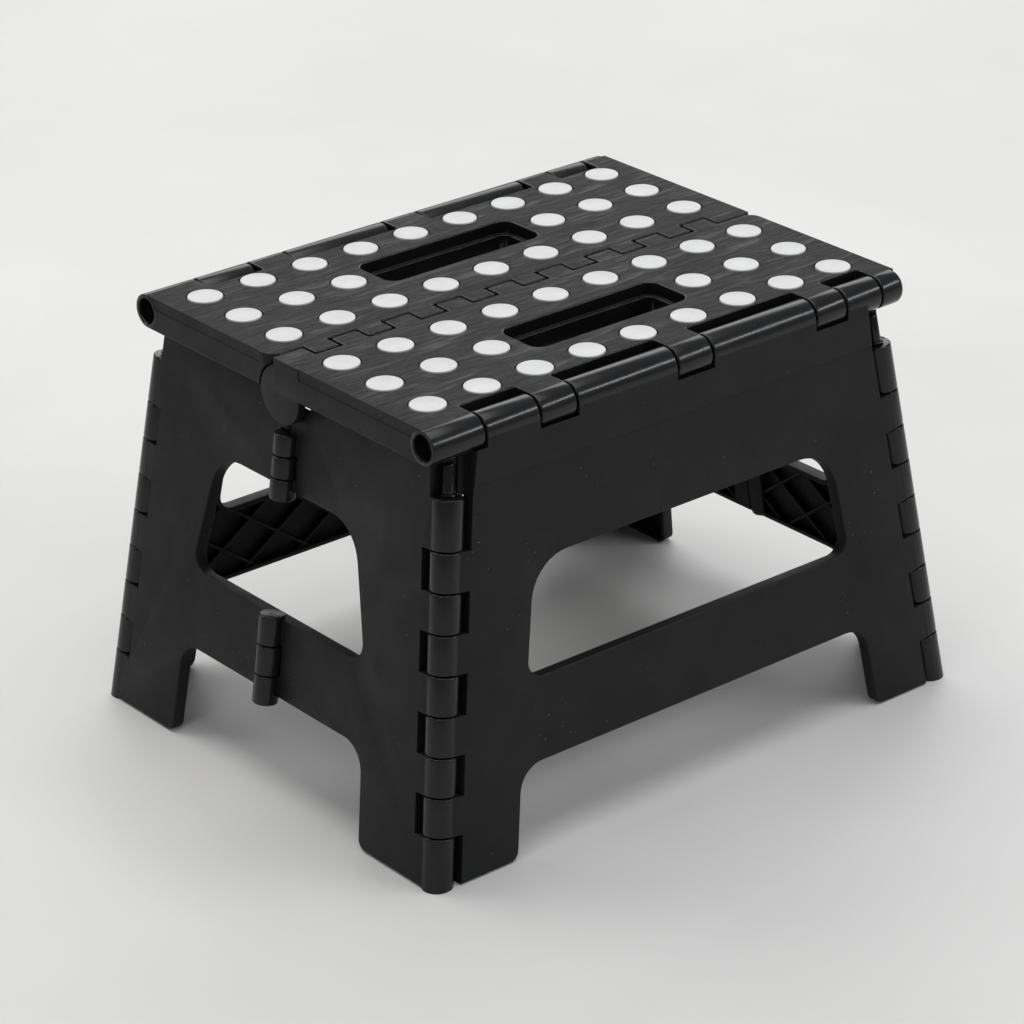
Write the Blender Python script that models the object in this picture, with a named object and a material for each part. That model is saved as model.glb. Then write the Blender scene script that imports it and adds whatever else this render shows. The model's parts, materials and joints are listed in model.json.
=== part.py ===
"""Folding step stool, modelled in metres with +Z up.

The origin is on the floor, under the middle of the stool. +X runs along the stool's length and
-Y is its front. Two deck halves are hinged to each other under the seam and to the two long
panels along their outer edges. Each end is a pair of half panels, hinged to each other at the
middle and to the long panels at the corners, so the whole stool folds flat when the deck's
middle is lifted. Every hinge line of one end meets the others in one point, the apex, high above
the deck, which is what lets leaning panels fold.
"""
import bpy
import bmesh
from math import atan2, ceil, cos, hypot, pi, sin, tan
from mathutils import Matrix, Vector

# Overall size
DECK_TOP = 0.2167            # height of the deck's walking surface
DECK_HALF_LENGTH = 0.144
DECK_DEPTH = 0.017           # depth of the deck's skirt
DECK_SKIN = 0.003
SEAM_WALL = 0.006            # solid strip beside the seam, over the centre hinge
WALL = 0.0026                # moulded walls and ribs

# Hinge lines. Edge hinges join the deck to the long panels, corner hinges join the panels.
EDGE_Y = 0.1062
EDGE_Z = DECK_TOP - 0.0085
EDGE_R = 0.0084
CENTRE_Z = DECK_TOP - 0.01775
CORNER_X = 0.1277            # corner hinge line at the height of the edge hinge
CORNER_Y = 0.1050
LEAN_X = 0.142               # outward lean of the corner hinge per unit of height
LEAN_Y = 0.097
CORNER_R = 0.0075
PANEL_INNER = 0.0005         # a panel's faces, measured outward from its corner hinge lines
PANEL_OUTER = 0.0072
PANEL_SKIN = 0.0026
APEX_Z = EDGE_Z + CORNER_Y / LEAN_Y
APEX_X = LEAN_X * CORNER_Y / LEAN_Y - CORNER_X
FOLD_LEAN = LEAN_X + 0.00776  # lean of an end's middle hinge, which stands proud of the panels
FOLD_R = 0.0062
FOLD_ROOM = 0.0009
BARREL_CLEAR = 0.0020        # from a hinge barrel to the hollow of its panel

# Pins and their bores. A bore's radius is that of the round pin that just fits in it.
EDGE_PIN_R = 0.0025
SNUG_BORE = 0.0028
LOOSE_BORE = 0.0049          # the front deck's bore: its pin shifts in it while the stool folds
THIN_PIN_R = 0.0020
THIN_BORE = 0.0023
FREE_BORE = 0.0029           # the right end's middle hinge, which also shifts a little
END_HOLE_R = 0.0057          # wide mouth of the edge bore, at the left end
END_HOLE_DEPTH = 0.0060
END_CAP = 0.0040             # closed right end of the edge bore
EDGE_PIN_SHORT = 0.0070      # by which a pin stops short of the deck's ends
CENTRE_PIN_SHORT = 0.0025
CORNER_HEAD = (0.0197, 0.0030, 0.0148)  # depth, radius and length of a corner pin's head
CORNER_PIN_FOOT = 0.0060     # height of the pin's lower end
PIN_GAP = 0.0003             # from a fold pin's end to the end of its stack

# Hinge knuckles, as ranges of X along the deck's edges and of height down the corners
EDGE_SPLITS = [-0.1440, -0.1142, -0.0828, -0.0613, -0.0008,
               0.0208, 0.0862, 0.1058, 0.1292, 0.1440]
DECK_KNUCKLES = list(zip(EDGE_SPLITS[0::2], EDGE_SPLITS[1::2]))
PANEL_KNUCKLES = list(zip(EDGE_SPLITS[1::2], EDGE_SPLITS[2::2]))
EDGE_GAP = 0.0012            # between neighbouring knuckles of the deck's edges
CORNER_TOP = DECK_TOP - 0.035
CORNER_LENGTHS = [0.024] + [0.019] * 7 + [0.0247]
FOLD_KNUCKLES = 3
FOLD_STACKS = [(DECK_TOP - 0.037, 0.0108), (DECK_TOP - 0.126, 0.0150)]  # top and knuckle length
GAP = 0.0006                 # between neighbouring knuckles
KNUCKLE_NOTCH = 0.0026       # from an edge knuckle to the side of the notch that it turns in
CORNER_CLEAR = 0.0009        # the same for a corner knuckle
TOP_NOTCH = 0.0038           # from a corner's hinge line to the panels, above the knuckles
NOTCH_REACH = 0.020          # half thickness of the cutters for those notches
WEB_GAP = 0.0006             # from a knuckle to the web behind its notch
PANEL_WEB = 0.0021           # outer face of the web beside a corner pin's head
DECK_WEB = -0.0067           # top of a deck's webs, up from the edge hinge

# Deck seam: tabs of each half reach past the middle, one pair per dot column
PITCH = 0.031
SEAM_REACH = 0.005
SEAM_GAP = 0.0005
REAR_TAB = 0.015
FIRST_REAR_TAB = -0.126
SEAM_TABS = 9
SEAM_R = 0.0054
SEAM_SHORT = 0.0003          # by which a centre knuckle's end stops short of its tab's side
EAR_R = 0.0145
EAR_T = 0.0045
EAR_GAP = 0.0010

# Hand slots in the deck
SLOT_HALF_LENGTH = 0.047
SLOT_Y = (0.040, 0.069)
SLOT_CORNER_R = 0.0065
SLOT_LEDGE = 0.0022
SLOT_LEDGE_DEPTH = 0.0065

# Tread dots
DOT_ROWS = (0.0222, 0.0540, 0.0852)
DOT_COLUMNS = 9
DOT_R = 0.0085
DOT_BOTTOM = 0.0003
DOT_TOP = 0.0010
STEM_R = 0.0022
STEM_HOLE_R = 0.0027
RUNNER_WIDTH = 0.0030
RUNNER_TOP = 0.0033
RUNNER_BOTTOM = 0.0048
RUNNER_ROOM = 0.0006
STEM_SHORT = 0.0004          # from a runner's underside to the foot of its stems
CHANNEL_DROP = 0.0001        # from the cells' roof to the roof of a runner's channel

# Openings of the long panels (half widths and depths below the deck's top)
LONG_WINDOW_DEPTH = (0.076, 0.132)
LONG_WINDOW_HALF = (0.0915, 0.1010)
LONG_WINDOW_R = (0.023, 0.008)
LONG_ARCH_DEPTH = 0.173
LONG_ARCH_HALF = (0.1085, 0.1150)
LONG_TOP_DEPTH = 0.0190

# Openings of the end panels
END_WINDOW_DEPTH = (0.066, 0.129)
END_WINDOW_HALF = (0.0530, 0.0680)
END_WINDOW_R = (0.022, 0.009)
END_ARCH_DEPTH = 0.168
END_ARCH_HALF = (0.0710, 0.0750)
END_TOP_DEPTH = 0.0182
END_NOTCH_DEPTH = 0.0270
END_NOTCH_HALF = 0.0140
ARCH_R = 0.014
FOOT_R = 0.005
FOOT_OVERRUN = 0.0010
BUTT_GAP = 0.0003            # half of the gap between the two halves of an end

RIB_PITCH = 0.062
END_RIBS = (0.038, 0.083)
ROUND_SIDES = 12
BORE_SIDES = 6
ARC_STEP = pi / 6

OVERCUT = 0.001              # by which a cutter runs past the face that it opens
WELD = 0.002                 # by which a joined block reaches into its neighbour
MAIN_COLLECTION = "step_stool"


# Scene and materials

def clear_scene():
    for item in list(bpy.data.objects):
        bpy.data.objects.remove(item, do_unlink=True)


def new_collection(name):
    collection = bpy.data.collections.new(name)
    bpy.context.scene.collection.children.link(collection)
    return collection


def material(name, colour, roughness, metallic=0.0):
    made = bpy.data.materials.new(name)
    made.use_nodes = True
    shader = made.node_tree.nodes["Principled BSDF"]
    shader.inputs["Base Color"].default_value = (*colour, 1.0)
    shader.inputs["Roughness"].default_value = roughness
    shader.inputs["Metallic"].default_value = metallic
    made.diffuse_color = (*colour, 1.0)
    return made


# Outlines

def rounded(corners):
    """Points of a closed outline whose corners are (x, y, radius)."""
    points = []
    for index, (x, y, radius) in enumerate(corners):
        corner = Vector((x, y))
        if radius <= 0:
            points.append(corner)
            continue
        before = (Vector(corners[index - 1][:2]) - corner).normalized()
        after = (Vector(corners[(index + 1) % len(corners)][:2]) - corner).normalized()
        half = before.angle(after) / 2
        centre = corner + (before + after).normalized() * (radius / sin(half))
        start = corner + before * (radius / tan(half)) - centre
        end = corner + after * (radius / tan(half)) - centre
        turn = atan2(start.cross(end), start.dot(end))
        steps = max(2, ceil(abs(turn) / ARC_STEP))
        for step in range(steps + 1):
            points.append(centre + Matrix.Rotation(turn * step / steps, 2) @ start)
    return points


def inset(corners, distance):
    """The same outline moved inward by a distance, for corners listed anticlockwise."""
    moved = []
    count = len(corners)
    for index, (x, y, radius) in enumerate(corners):
        corner = Vector((x, y))
        back = (corner - Vector(corners[index - 1][:2])).normalized()
        ahead = (Vector(corners[(index + 1) % count][:2]) - corner).normalized()
        left_back = Vector((-back.y, back.x))
        left_ahead = Vector((-ahead.y, ahead.x))
        shift = (left_back + left_ahead) * (distance / (1 + left_back.dot(left_ahead)))
        convex = back.cross(ahead) > 0
        new_radius = radius - distance if convex else radius + distance
        moved.append((x + shift.x, y + shift.y, max(new_radius, 0.0) if radius > 0 else 0.0))
    return moved


# Solids

def finish_mesh(name, mesh):
    """Weld a mesh, turn its faces outward and give it an object in the cutters' collection."""
    work = bmesh.new()
    work.from_mesh(mesh)
    bmesh.ops.remove_doubles(work, verts=work.verts, dist=0.00001)
    bmesh.ops.recalc_face_normals(work, faces=work.faces)
    work.to_mesh(mesh)
    work.free()
    made = bpy.data.objects.new(name, mesh)
    made.hide_render = True
    made.display_type = "WIRE"
    CUTTERS.objects.link(made)
    return made


def plate(name, loops, low, high, frame):
    """A flat outline with holes, given thickness from low to high along the frame's third axis."""
    curve = bpy.data.curves.new(name, "CURVE")
    curve.dimensions = "2D"
    curve.fill_mode = "BOTH"
    curve.extrude = (high - low) / 2
    for loop in loops:
        spline = curve.splines.new("POLY")
        spline.points.add(len(loop) - 1)
        for point, place in zip(spline.points, loop):
            point.co = (place[0], place[1], 0.0, 1.0)
        spline.use_cyclic_u = True
    holder = bpy.data.objects.new(name, curve)
    CUTTERS.objects.link(holder)
    bpy.context.view_layer.update()
    graph = bpy.context.evaluated_depsgraph_get()
    mesh = bpy.data.meshes.new_from_object(holder.evaluated_get(graph))
    bpy.data.objects.remove(holder, do_unlink=True)
    mesh.transform(frame @ Matrix.Translation((0, 0, (low + high) / 2)))
    return finish_mesh(name, mesh)


def block(name, low, high, frame=Matrix()):
    """A box between two corners of a frame."""
    work = bmesh.new()
    bmesh.ops.create_cube(work, size=1.0)
    middle = (Vector(low) + Vector(high)) / 2
    size = Vector(high) - Vector(low)
    bmesh.ops.transform(work, matrix=Matrix.Translation(middle) @ Matrix.Diagonal((*size, 1.0)),
                        verts=work.verts)
    bmesh.ops.transform(work, matrix=frame, verts=work.verts)
    mesh = bpy.data.meshes.new(name)
    work.to_mesh(mesh)
    work.free()
    return finish_mesh(name, mesh)


def rod(name, start, end, radius, sides=ROUND_SIDES):
    """A round bar between two points."""
    start, end = Vector(start), Vector(end)
    along = end - start
    work = bmesh.new()
    bmesh.ops.create_cone(work, cap_ends=True, segments=sides, radius1=radius, radius2=radius,
                          depth=along.length)
    turn = along.to_track_quat("Z", "Y").to_matrix().to_4x4()
    bmesh.ops.transform(work, matrix=Matrix.Translation((start + end) / 2) @ turn, verts=work.verts)
    mesh = bpy.data.meshes.new(name)
    work.to_mesh(mesh)
    work.free()
    return finish_mesh(name, mesh)


def bore(name, start, end, radius):
    """A cutter for a pin's bore, with flats that just touch the given radius."""
    return rod(name, start, end, radius / cos(pi / BORE_SIDES), BORE_SIDES)


def combine(base, others, operation):
    """Join other solids to a base, or cut them from it, and drop them."""
    if not others:
        return base
    for other in others:
        change = base.modifiers.new(operation.title(), "BOOLEAN")
        change.operation = operation
        change.solver = "EXACT"
        change.object = other
    bpy.context.view_layer.update()
    graph = bpy.context.evaluated_depsgraph_get()
    mesh = bpy.data.meshes.new_from_object(base.evaluated_get(graph))
    base.modifiers.clear()
    base.data = mesh
    for other in others:
        bpy.data.objects.remove(other, do_unlink=True)
    return base


def joined(base, others):
    return combine(base, others, "UNION")


def cut(base, others):
    return combine(base, others, "DIFFERENCE")


def publish(piece, look, hinge, hinge_point):
    """Move a finished solid to the stool's collection, under an empty on its joint's axis."""
    CUTTERS.objects.unlink(piece)
    STOOL.objects.link(piece)
    piece.hide_render = False
    piece.display_type = "TEXTURED"
    piece.data.materials.clear()
    piece.data.materials.append(look)
    piece.data.shade_smooth()
    piece.data.set_sharp_from_angle(angle=pi / 5)
    if hinge not in HINGES:
        empty = bpy.data.objects.new(hinge, None)
        empty.location = hinge_point
        empty.empty_display_size = 0.02
        STOOL.objects.link(empty)
        HINGES[hinge] = empty
    bpy.context.view_layer.update()
    piece.parent = HINGES[hinge]
    piece.matrix_parent_inverse = HINGES[hinge].matrix_world.inverted()


# Frames and hinge lines

def wall_frame(yaw, distance, lean):
    """A leaning wall's own axes: along it, up it, and out of it."""
    slope = hypot(1.0, lean)
    across = Vector((1.0, 0.0, 0.0))
    up = Vector((0.0, lean / slope, 1.0 / slope))
    out = Vector((0.0, -1.0 / slope, lean / slope))
    axes = Matrix((across, up, out)).transposed().to_4x4()
    return Matrix.Rotation(yaw, 4, "Z") @ Matrix.Translation((0, -distance, EDGE_Z)) @ axes


def up_wall(z, lean):
    """Distance up a wall, from the edge hinge's height, that reaches a height."""
    return (z - EDGE_Z) * hypot(1.0, lean)


def corner_point(side_x, side_y, z):
    drop = EDGE_Z - z
    return Vector((side_x * (CORNER_X + LEAN_X * drop), side_y * (CORNER_Y + LEAN_Y * drop), z))


def fold_point(side_x, z):
    return Vector((side_x * (FOLD_LEAN * (APEX_Z - z) - APEX_X), 0.0, z))


def hinge_frame(low, high, inward):
    """Axes on a hinge line: X toward the piece that it holds, Z along the line from low to high."""
    along = (high - low).normalized()
    toward = (inward - along * inward.dot(along)).normalized()
    axes = Matrix((toward, along.cross(toward), along)).transposed().to_4x4()
    return Matrix.Translation(low) @ axes


def corner_notches(low, high, inward, ranges):
    """Cutters that clear a panel away from stretches of its corner hinge line."""
    frame = hinge_frame(low, high, inward)
    far = CORNER_R + CORNER_CLEAR
    return [block("notch", (-NOTCH_REACH, -NOTCH_REACH, start), (far, NOTCH_REACH, end), frame)
            for start, end in ranges]


def stepped_notches(low, high, inward, outward, ranges, near, far, web):
    """Cutters that clear stretches of a hinge line down to a web, which closes the slot's back.

    Nearer to the line than near they clear everything. From there to far they leave the web.
    """
    frame = hinge_frame(low, high, inward)
    up = 1 if frame.col[1].xyz.dot(outward) > 0 else -1
    outline = [(-NOTCH_REACH, -up * NOTCH_REACH), (near, -up * NOTCH_REACH), (near, up * web),
               (far, up * web), (far, up * NOTCH_REACH), (-NOTCH_REACH, up * NOTCH_REACH)]
    return [plate("notch", [outline], start, end, frame) for start, end in ranges]


def corner_ranges(first):
    """Every second corner knuckle from the first, as lengths up the hinge line from the floor."""
    line_scale = hypot(1.0, hypot(LEAN_X, LEAN_Y))
    ranges = []
    top = CORNER_TOP
    for index, length in enumerate(CORNER_LENGTHS):
        if index % 2 == first:
            ranges.append(((top - length) * line_scale - GAP / 2, top * line_scale + GAP / 2))
        top -= length
    return ranges


# Deck halves. side is -1 for the front half and +1 for the rear half.

def tab_ranges(side):
    """Where this half's tabs reach past the middle, along X."""
    rear = [(FIRST_REAR_TAB + PITCH * n, FIRST_REAR_TAB + PITCH * n + REAR_TAB)
            for n in range(SEAM_TABS)]
    rear[-1] = (rear[-1][0], DECK_HALF_LENGTH + SEAM_GAP)
    if side > 0:
        return rear
    starts = [-DECK_HALF_LENGTH - SEAM_GAP] + [end for _, end in rear[:-1]]
    return [(start, tab[0]) for start, tab in zip(starts, rear)]


def seam_tabs(side):
    """Blocks that reach from one half past the stool's middle."""
    near, far = side * (SEAM_GAP - SEAM_REACH), side * (SEAM_REACH + WELD)
    return [block("tab", (max(start + SEAM_GAP, -DECK_HALF_LENGTH), min(near, far),
                          DECK_TOP - DECK_DEPTH),
                  (min(end - SEAM_GAP, DECK_HALF_LENGTH), max(near, far), DECK_TOP))
            for start, end in tab_ranges(side)]


def deck_cells(side):
    """Hollows under the deck's skin, between its walls and ribs."""
    wall_x = DECK_HALF_LENGTH - WALL
    near, far = SEAM_REACH + SEAM_WALL, EDGE_Y - EDGE_R - KNUCKLE_NOTCH - WALL
    slot_x = SLOT_HALF_LENGTH + WALL
    slot_near, slot_far = SLOT_Y[0] - WALL, SLOT_Y[1] + WALL
    middle_x = (wall_x + slot_x) / 2
    spans = [(-wall_x, -middle_x - WALL / 2, near, far),
             (-middle_x + WALL / 2, -slot_x - WALL, near, far),
             (slot_x + WALL, middle_x - WALL / 2, near, far),
             (middle_x + WALL / 2, wall_x, near, far)]
    for start, end in ((-slot_x, -WALL / 2), (WALL / 2, slot_x)):
        spans += [(start, end, near, slot_near), (start, end, slot_far, far)]
    bottom, top = DECK_TOP - DECK_DEPTH - OVERCUT, DECK_TOP - DECK_SKIN
    return [block("cell", (x0, min(side * y0, side * y1), bottom),
                  (x1, max(side * y0, side * y1), top)) for x0, x1, y0, y1 in spans]


def slot_cutters(side):
    """The hand slot, with a ledge part of the way down its walls."""
    middle = side * (SLOT_Y[0] + SLOT_Y[1]) / 2
    half = (SLOT_Y[1] - SLOT_Y[0]) / 2
    cutters = []
    for step, low, high in ((0.0, -SLOT_LEDGE_DEPTH, OVERCUT),
                            (SLOT_LEDGE, -DECK_DEPTH - OVERCUT, OVERCUT - SLOT_LEDGE_DEPTH)):
        x, y, radius = SLOT_HALF_LENGTH - step, half - step, SLOT_CORNER_R - step
        outline = rounded([(-x, middle - y, radius), (x, middle - y, radius),
                           (x, middle + y, radius), (-x, middle + y, radius)])
        cutters.append(plate("slot", [outline], DECK_TOP + low, DECK_TOP + high, Matrix()))
    return cutters


def dot_columns(row):
    """Columns of one row of dots: the middle row of each half stops at the hand slot."""
    columns = [(n - (DOT_COLUMNS - 1) / 2) * PITCH for n in range(DOT_COLUMNS)]
    if row != 1:
        return [columns]
    return [[x for x in columns if x < -SLOT_HALF_LENGTH],
            [x for x in columns if x > SLOT_HALF_LENGTH]]


def runner_room(side):
    """Channels through the ribs for the runners under the dots."""
    cutters = []
    for row, y in enumerate(DOT_ROWS):
        for columns in dot_columns(row):
            room = RUNNER_WIDTH / 2 + RUNNER_ROOM
            cutters.append(block("runner room", (columns[0] - room, side * y - room,
                                                 DECK_TOP - RUNNER_BOTTOM - RUNNER_ROOM),
                                 (columns[-1] + room, side * y + room,
                                  DECK_TOP - DECK_SKIN - CHANNEL_DROP)))
            cutters += [rod("stem hole", (x, side * y, DECK_TOP - RUNNER_BOTTOM - OVERCUT),
                            (x, side * y, DECK_TOP + OVERCUT), STEM_HOLE_R, 4) for x in columns]
    return cutters


def seam_knuckles(side):
    """Every second tab carries a knuckle of the centre hinge."""
    tabs = tab_ranges(side)[1:-1] if side < 0 else tab_ranges(side)[:-1]
    return tabs[::2]


def make_deck(name, side):
    length = DECK_HALF_LENGTH
    near, far = side * (SEAM_REACH + SEAM_GAP), side * EDGE_Y
    flat = block(name, (-length, min(near, far), DECK_TOP - DECK_DEPTH),
                 (length, max(near, far), DECK_TOP))
    joined(flat, seam_tabs(side))
    cut(flat, deck_cells(side))
    edge = [Vector((x, side * EDGE_Y, EDGE_Z)) for x in (-length, length)]
    barrels = [rod("edge barrel", *edge, EDGE_R)]
    for start, end in seam_knuckles(side):
        barrels.append(rod("seam knuckle", (start + SEAM_GAP + SEAM_SHORT, 0, CENTRE_Z),
                           (end - SEAM_GAP - SEAM_SHORT, 0, CENTRE_Z), SEAM_R))
    joined(flat, barrels)
    ear_inner = length - EAR_T
    ear = rod("ear", (side * length, 0, CENTRE_Z), (side * ear_inner, 0, CENTRE_Z), EAR_R, 24)
    joined(flat, [ear])
    cutters = slot_cutters(side) + runner_room(side)
    for start, end in seam_knuckles(-side):
        cutters.append(rod("seam room", (start, 0, CENTRE_Z), (end, 0, CENTRE_Z),
                           SEAM_R + EAR_GAP))
    cutters.append(rod("ear room", (-side * (length + OVERCUT), 0, CENTRE_Z),
                       (-side * (ear_inner - SEAM_GAP), 0, CENTRE_Z), EAR_R + EAR_GAP, 24))
    cutters += stepped_notches(*edge, Vector((0, -side, 0)), Vector((0, 0, 1)),
                               [(start + length - EDGE_GAP / 2, end + length + EDGE_GAP / 2)
                                for start, end in PANEL_KNUCKLES],
                               EDGE_R + WEB_GAP, EDGE_R + KNUCKLE_NOTCH, DECK_WEB)
    pin_reach = length - CENTRE_PIN_SHORT + OVERCUT / 2
    cutters.append(bore("seam bore", (-pin_reach, 0, CENTRE_Z), (pin_reach, 0, CENTRE_Z),
                        THIN_BORE))
    cutters.append(bore("edge bore", edge[0], edge[1] - Vector((END_CAP, 0, 0)),
                        LOOSE_BORE if side < 0 else SNUG_BORE))
    cutters.append(rod("end hole", edge[0] - Vector((OVERCUT, 0, 0)),
                       edge[0] + Vector((END_HOLE_DEPTH, 0, 0)), END_HOLE_R, ROUND_SIDES))
    return cut(flat, cutters)


# Dots, one soft moulding for each run of a row

def make_dots(name, side, row, columns):
    y = side * DOT_ROWS[row]
    half = RUNNER_WIDTH / 2
    runner = block(name, (columns[0] - half, y - half, DECK_TOP - RUNNER_BOTTOM),
                   (columns[-1] + half, y + half, DECK_TOP - RUNNER_TOP))
    stems = [rod("stem", (x, y, DECK_TOP - RUNNER_BOTTOM + STEM_SHORT),
                 (x, y, DECK_TOP + (DOT_BOTTOM + DOT_TOP) / 2), STEM_R, 4) for x in columns]
    discs = [rod("disc", (x, y, DECK_TOP + DOT_BOTTOM), (x, y, DECK_TOP + DOT_TOP), DOT_R, 10)
             for x in columns]
    return joined(runner, stems + discs)


# Panels

def wall_pocket(outline, holes, ribs, frame):
    """The hollow behind a panel's skin, less its ribs."""
    loops = [rounded(inset(outline, WALL))]
    loops += [rounded(inset(hole, -WALL)) for hole in holes]
    pocket = plate("pocket", loops, PANEL_INNER - OVERCUT, PANEL_OUTER - PANEL_SKIN, frame)
    bars = []
    for (x0, y0), (x1, y1) in ribs:
        start, end = Vector((x0, y0)), Vector((x1, y1))
        across = (end - start).normalized()
        side = Vector((-across.y, across.x)) * (WALL / 2)
        corners = [start - side, end - side, end + side, start + side]
        bars.append(plate("rib", [corners], PANEL_INNER - 2 * OVERCUT, PANEL_OUTER, frame))
    return cut(pocket, bars)


def floor_cutter():
    """Everything below the floor."""
    reach = 2 * DECK_HALF_LENGTH
    return block("floor", (-reach, -reach, -reach), (reach, reach, 0.0))


def long_outline(lean):
    """Outline of a long panel, anticlockwise, in its wall's own axes, with its two feet."""
    floor = up_wall(-FOOT_OVERRUN, lean)
    arch = up_wall(DECK_TOP - LONG_ARCH_DEPTH, lean)
    half_top = CORNER_X
    half_floor = corner_point(1, 1, -FOOT_OVERRUN).x
    foot_x, arch_x = LONG_ARCH_HALF[1], LONG_ARCH_HALF[0]
    return [(half_top, 0.0, 0.0), (-half_top, 0.0, 0.0), (-half_floor, floor, 0.0),
            (-foot_x, floor, FOOT_R), (-arch_x, arch, ARCH_R), (arch_x, arch, ARCH_R),
            (foot_x, floor, FOOT_R), (half_floor, floor, 0.0)]


def long_window(lean):
    top = up_wall(DECK_TOP - LONG_WINDOW_DEPTH[0], lean)
    bottom = up_wall(DECK_TOP - LONG_WINDOW_DEPTH[1], lean)
    x_top, x_bottom = LONG_WINDOW_HALF
    r_top, r_bottom = LONG_WINDOW_R
    return [(-x_top, top, r_top), (-x_bottom, bottom, r_bottom), (x_bottom, bottom, r_bottom),
            (x_top, top, r_top)]


def make_long_panel(name, side):
    """A long panel: side is -1 for the front and +1 for the rear, which faces the other way."""
    yaw = 0.0 if side < 0 else pi
    frame = wall_frame(yaw, CORNER_Y, LEAN_Y)
    outline = long_outline(LEAN_Y)
    window = long_window(LEAN_Y)
    panel = plate(name, [rounded(outline), rounded(window)], PANEL_INNER, PANEL_OUTER, frame)
    ribs = []
    top = up_wall(DECK_TOP - LONG_TOP_DEPTH, LEAN_Y)
    floor = up_wall(0.0, LEAN_Y)
    for n in range(-2, 3):
        ribs.append(((n * RIB_PITCH, top), (n * RIB_PITCH, floor)))
    pocket_outline = list(outline)
    pocket_outline[0] = (CORNER_X - CORNER_R - BARREL_CLEAR, top, 0.0)
    pocket_outline[1] = (-CORNER_X + CORNER_R + BARREL_CLEAR, top, 0.0)
    inner_floor = corner_point(1, 1, 0.0).x - CORNER_R - BARREL_CLEAR
    pocket_outline[2] = (-inner_floor, floor, 0.0)
    pocket_outline[7] = (inner_floor, floor, 0.0)
    cut(panel, [wall_pocket(pocket_outline, [window], ribs, frame)])
    barrels = [rod("edge barrel", (PANEL_KNUCKLES[0][0], side * EDGE_Y, EDGE_Z),
                   (PANEL_KNUCKLES[-1][1], side * EDGE_Y, EDGE_Z), EDGE_R)]
    for side_x in (-1, 1):
        low = corner_point(side_x, side, CORNER_TOP - sum(CORNER_LENGTHS[:8]))
        high = corner_point(side_x, side, CORNER_TOP - CORNER_LENGTHS[0])
        barrels.append(rod("corner barrel", low, high, CORNER_R))
    joined(panel, barrels)
    cutters = [floor_cutter()]
    reach = DECK_HALF_LENGTH + 2 * CORNER_R
    low, high = (Vector((x, side * EDGE_Y, EDGE_Z)) for x in (-reach, reach))
    gaps = [(start - EDGE_GAP / 2, end + EDGE_GAP / 2) for start, end in DECK_KNUCKLES]
    gaps[0] = (-reach, gaps[0][1])
    gaps[-1] = (gaps[-1][0], reach)
    near, far = sorted((side * (EDGE_Y - NOTCH_REACH), side * (EDGE_Y + NOTCH_REACH)))
    cutters += [block("edge notch", (start, near, DECK_TOP - LONG_TOP_DEPTH),
                      (end, far, DECK_TOP + NOTCH_REACH)) for start, end in gaps]
    cutters.append(bore("edge bore", low, high, SNUG_BORE))
    for side_x in (-1, 1):
        low = corner_point(side_x, side, 0.0)
        high = corner_point(side_x, side, DECK_TOP)
        ranges = corner_ranges(0)
        ranges[0] = (ranges[0][0], ranges[0][1] + WELD + GAP)
        ranges[-1] = (-NOTCH_REACH, ranges[-1][1])
        inward = Vector((-side_x, 0, 0))
        cutters += corner_notches(low, high, inward, ranges)
        cutters += stepped_notches(low, high, inward, Vector((0, side, 0)),
                                   [(ranges[0][1] - OVERCUT, (high - low).length)],
                                   TOP_NOTCH, CORNER_R + CORNER_CLEAR + GAP / 2, PANEL_WEB)
        cutters.append(bore("corner bore", low, high, THIN_BORE))
    return cut(panel, cutters)


def end_outline(lean, half):
    """Outline of one half of an end panel, a C open to the middle. half is -1 or +1."""
    def at(y, depth, radius=0.0):
        return (half * y, up_wall(DECK_TOP - depth, lean), radius)
    floor_depth = DECK_TOP + FOOT_OVERRUN
    corner_y = corner_point(1, 1, -FOOT_OVERRUN).y
    top_y = corner_point(1, 1, DECK_TOP - END_TOP_DEPTH).y
    points = [at(BUTT_GAP, END_NOTCH_DEPTH), at(BUTT_GAP, END_WINDOW_DEPTH[0]),
              at(END_WINDOW_HALF[0], END_WINDOW_DEPTH[0], END_WINDOW_R[0]),
              at(END_WINDOW_HALF[1], END_WINDOW_DEPTH[1], END_WINDOW_R[1]),
              at(BUTT_GAP, END_WINDOW_DEPTH[1]), at(BUTT_GAP, END_ARCH_DEPTH),
              at(END_ARCH_HALF[0], END_ARCH_DEPTH, ARCH_R),
              at(END_ARCH_HALF[1], floor_depth, FOOT_R), at(corner_y, floor_depth),
              at(top_y, END_TOP_DEPTH), at(END_NOTCH_HALF, END_TOP_DEPTH),
              at(END_NOTCH_HALF, END_NOTCH_DEPTH)]
    return points if half > 0 else points[::-1]


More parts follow.
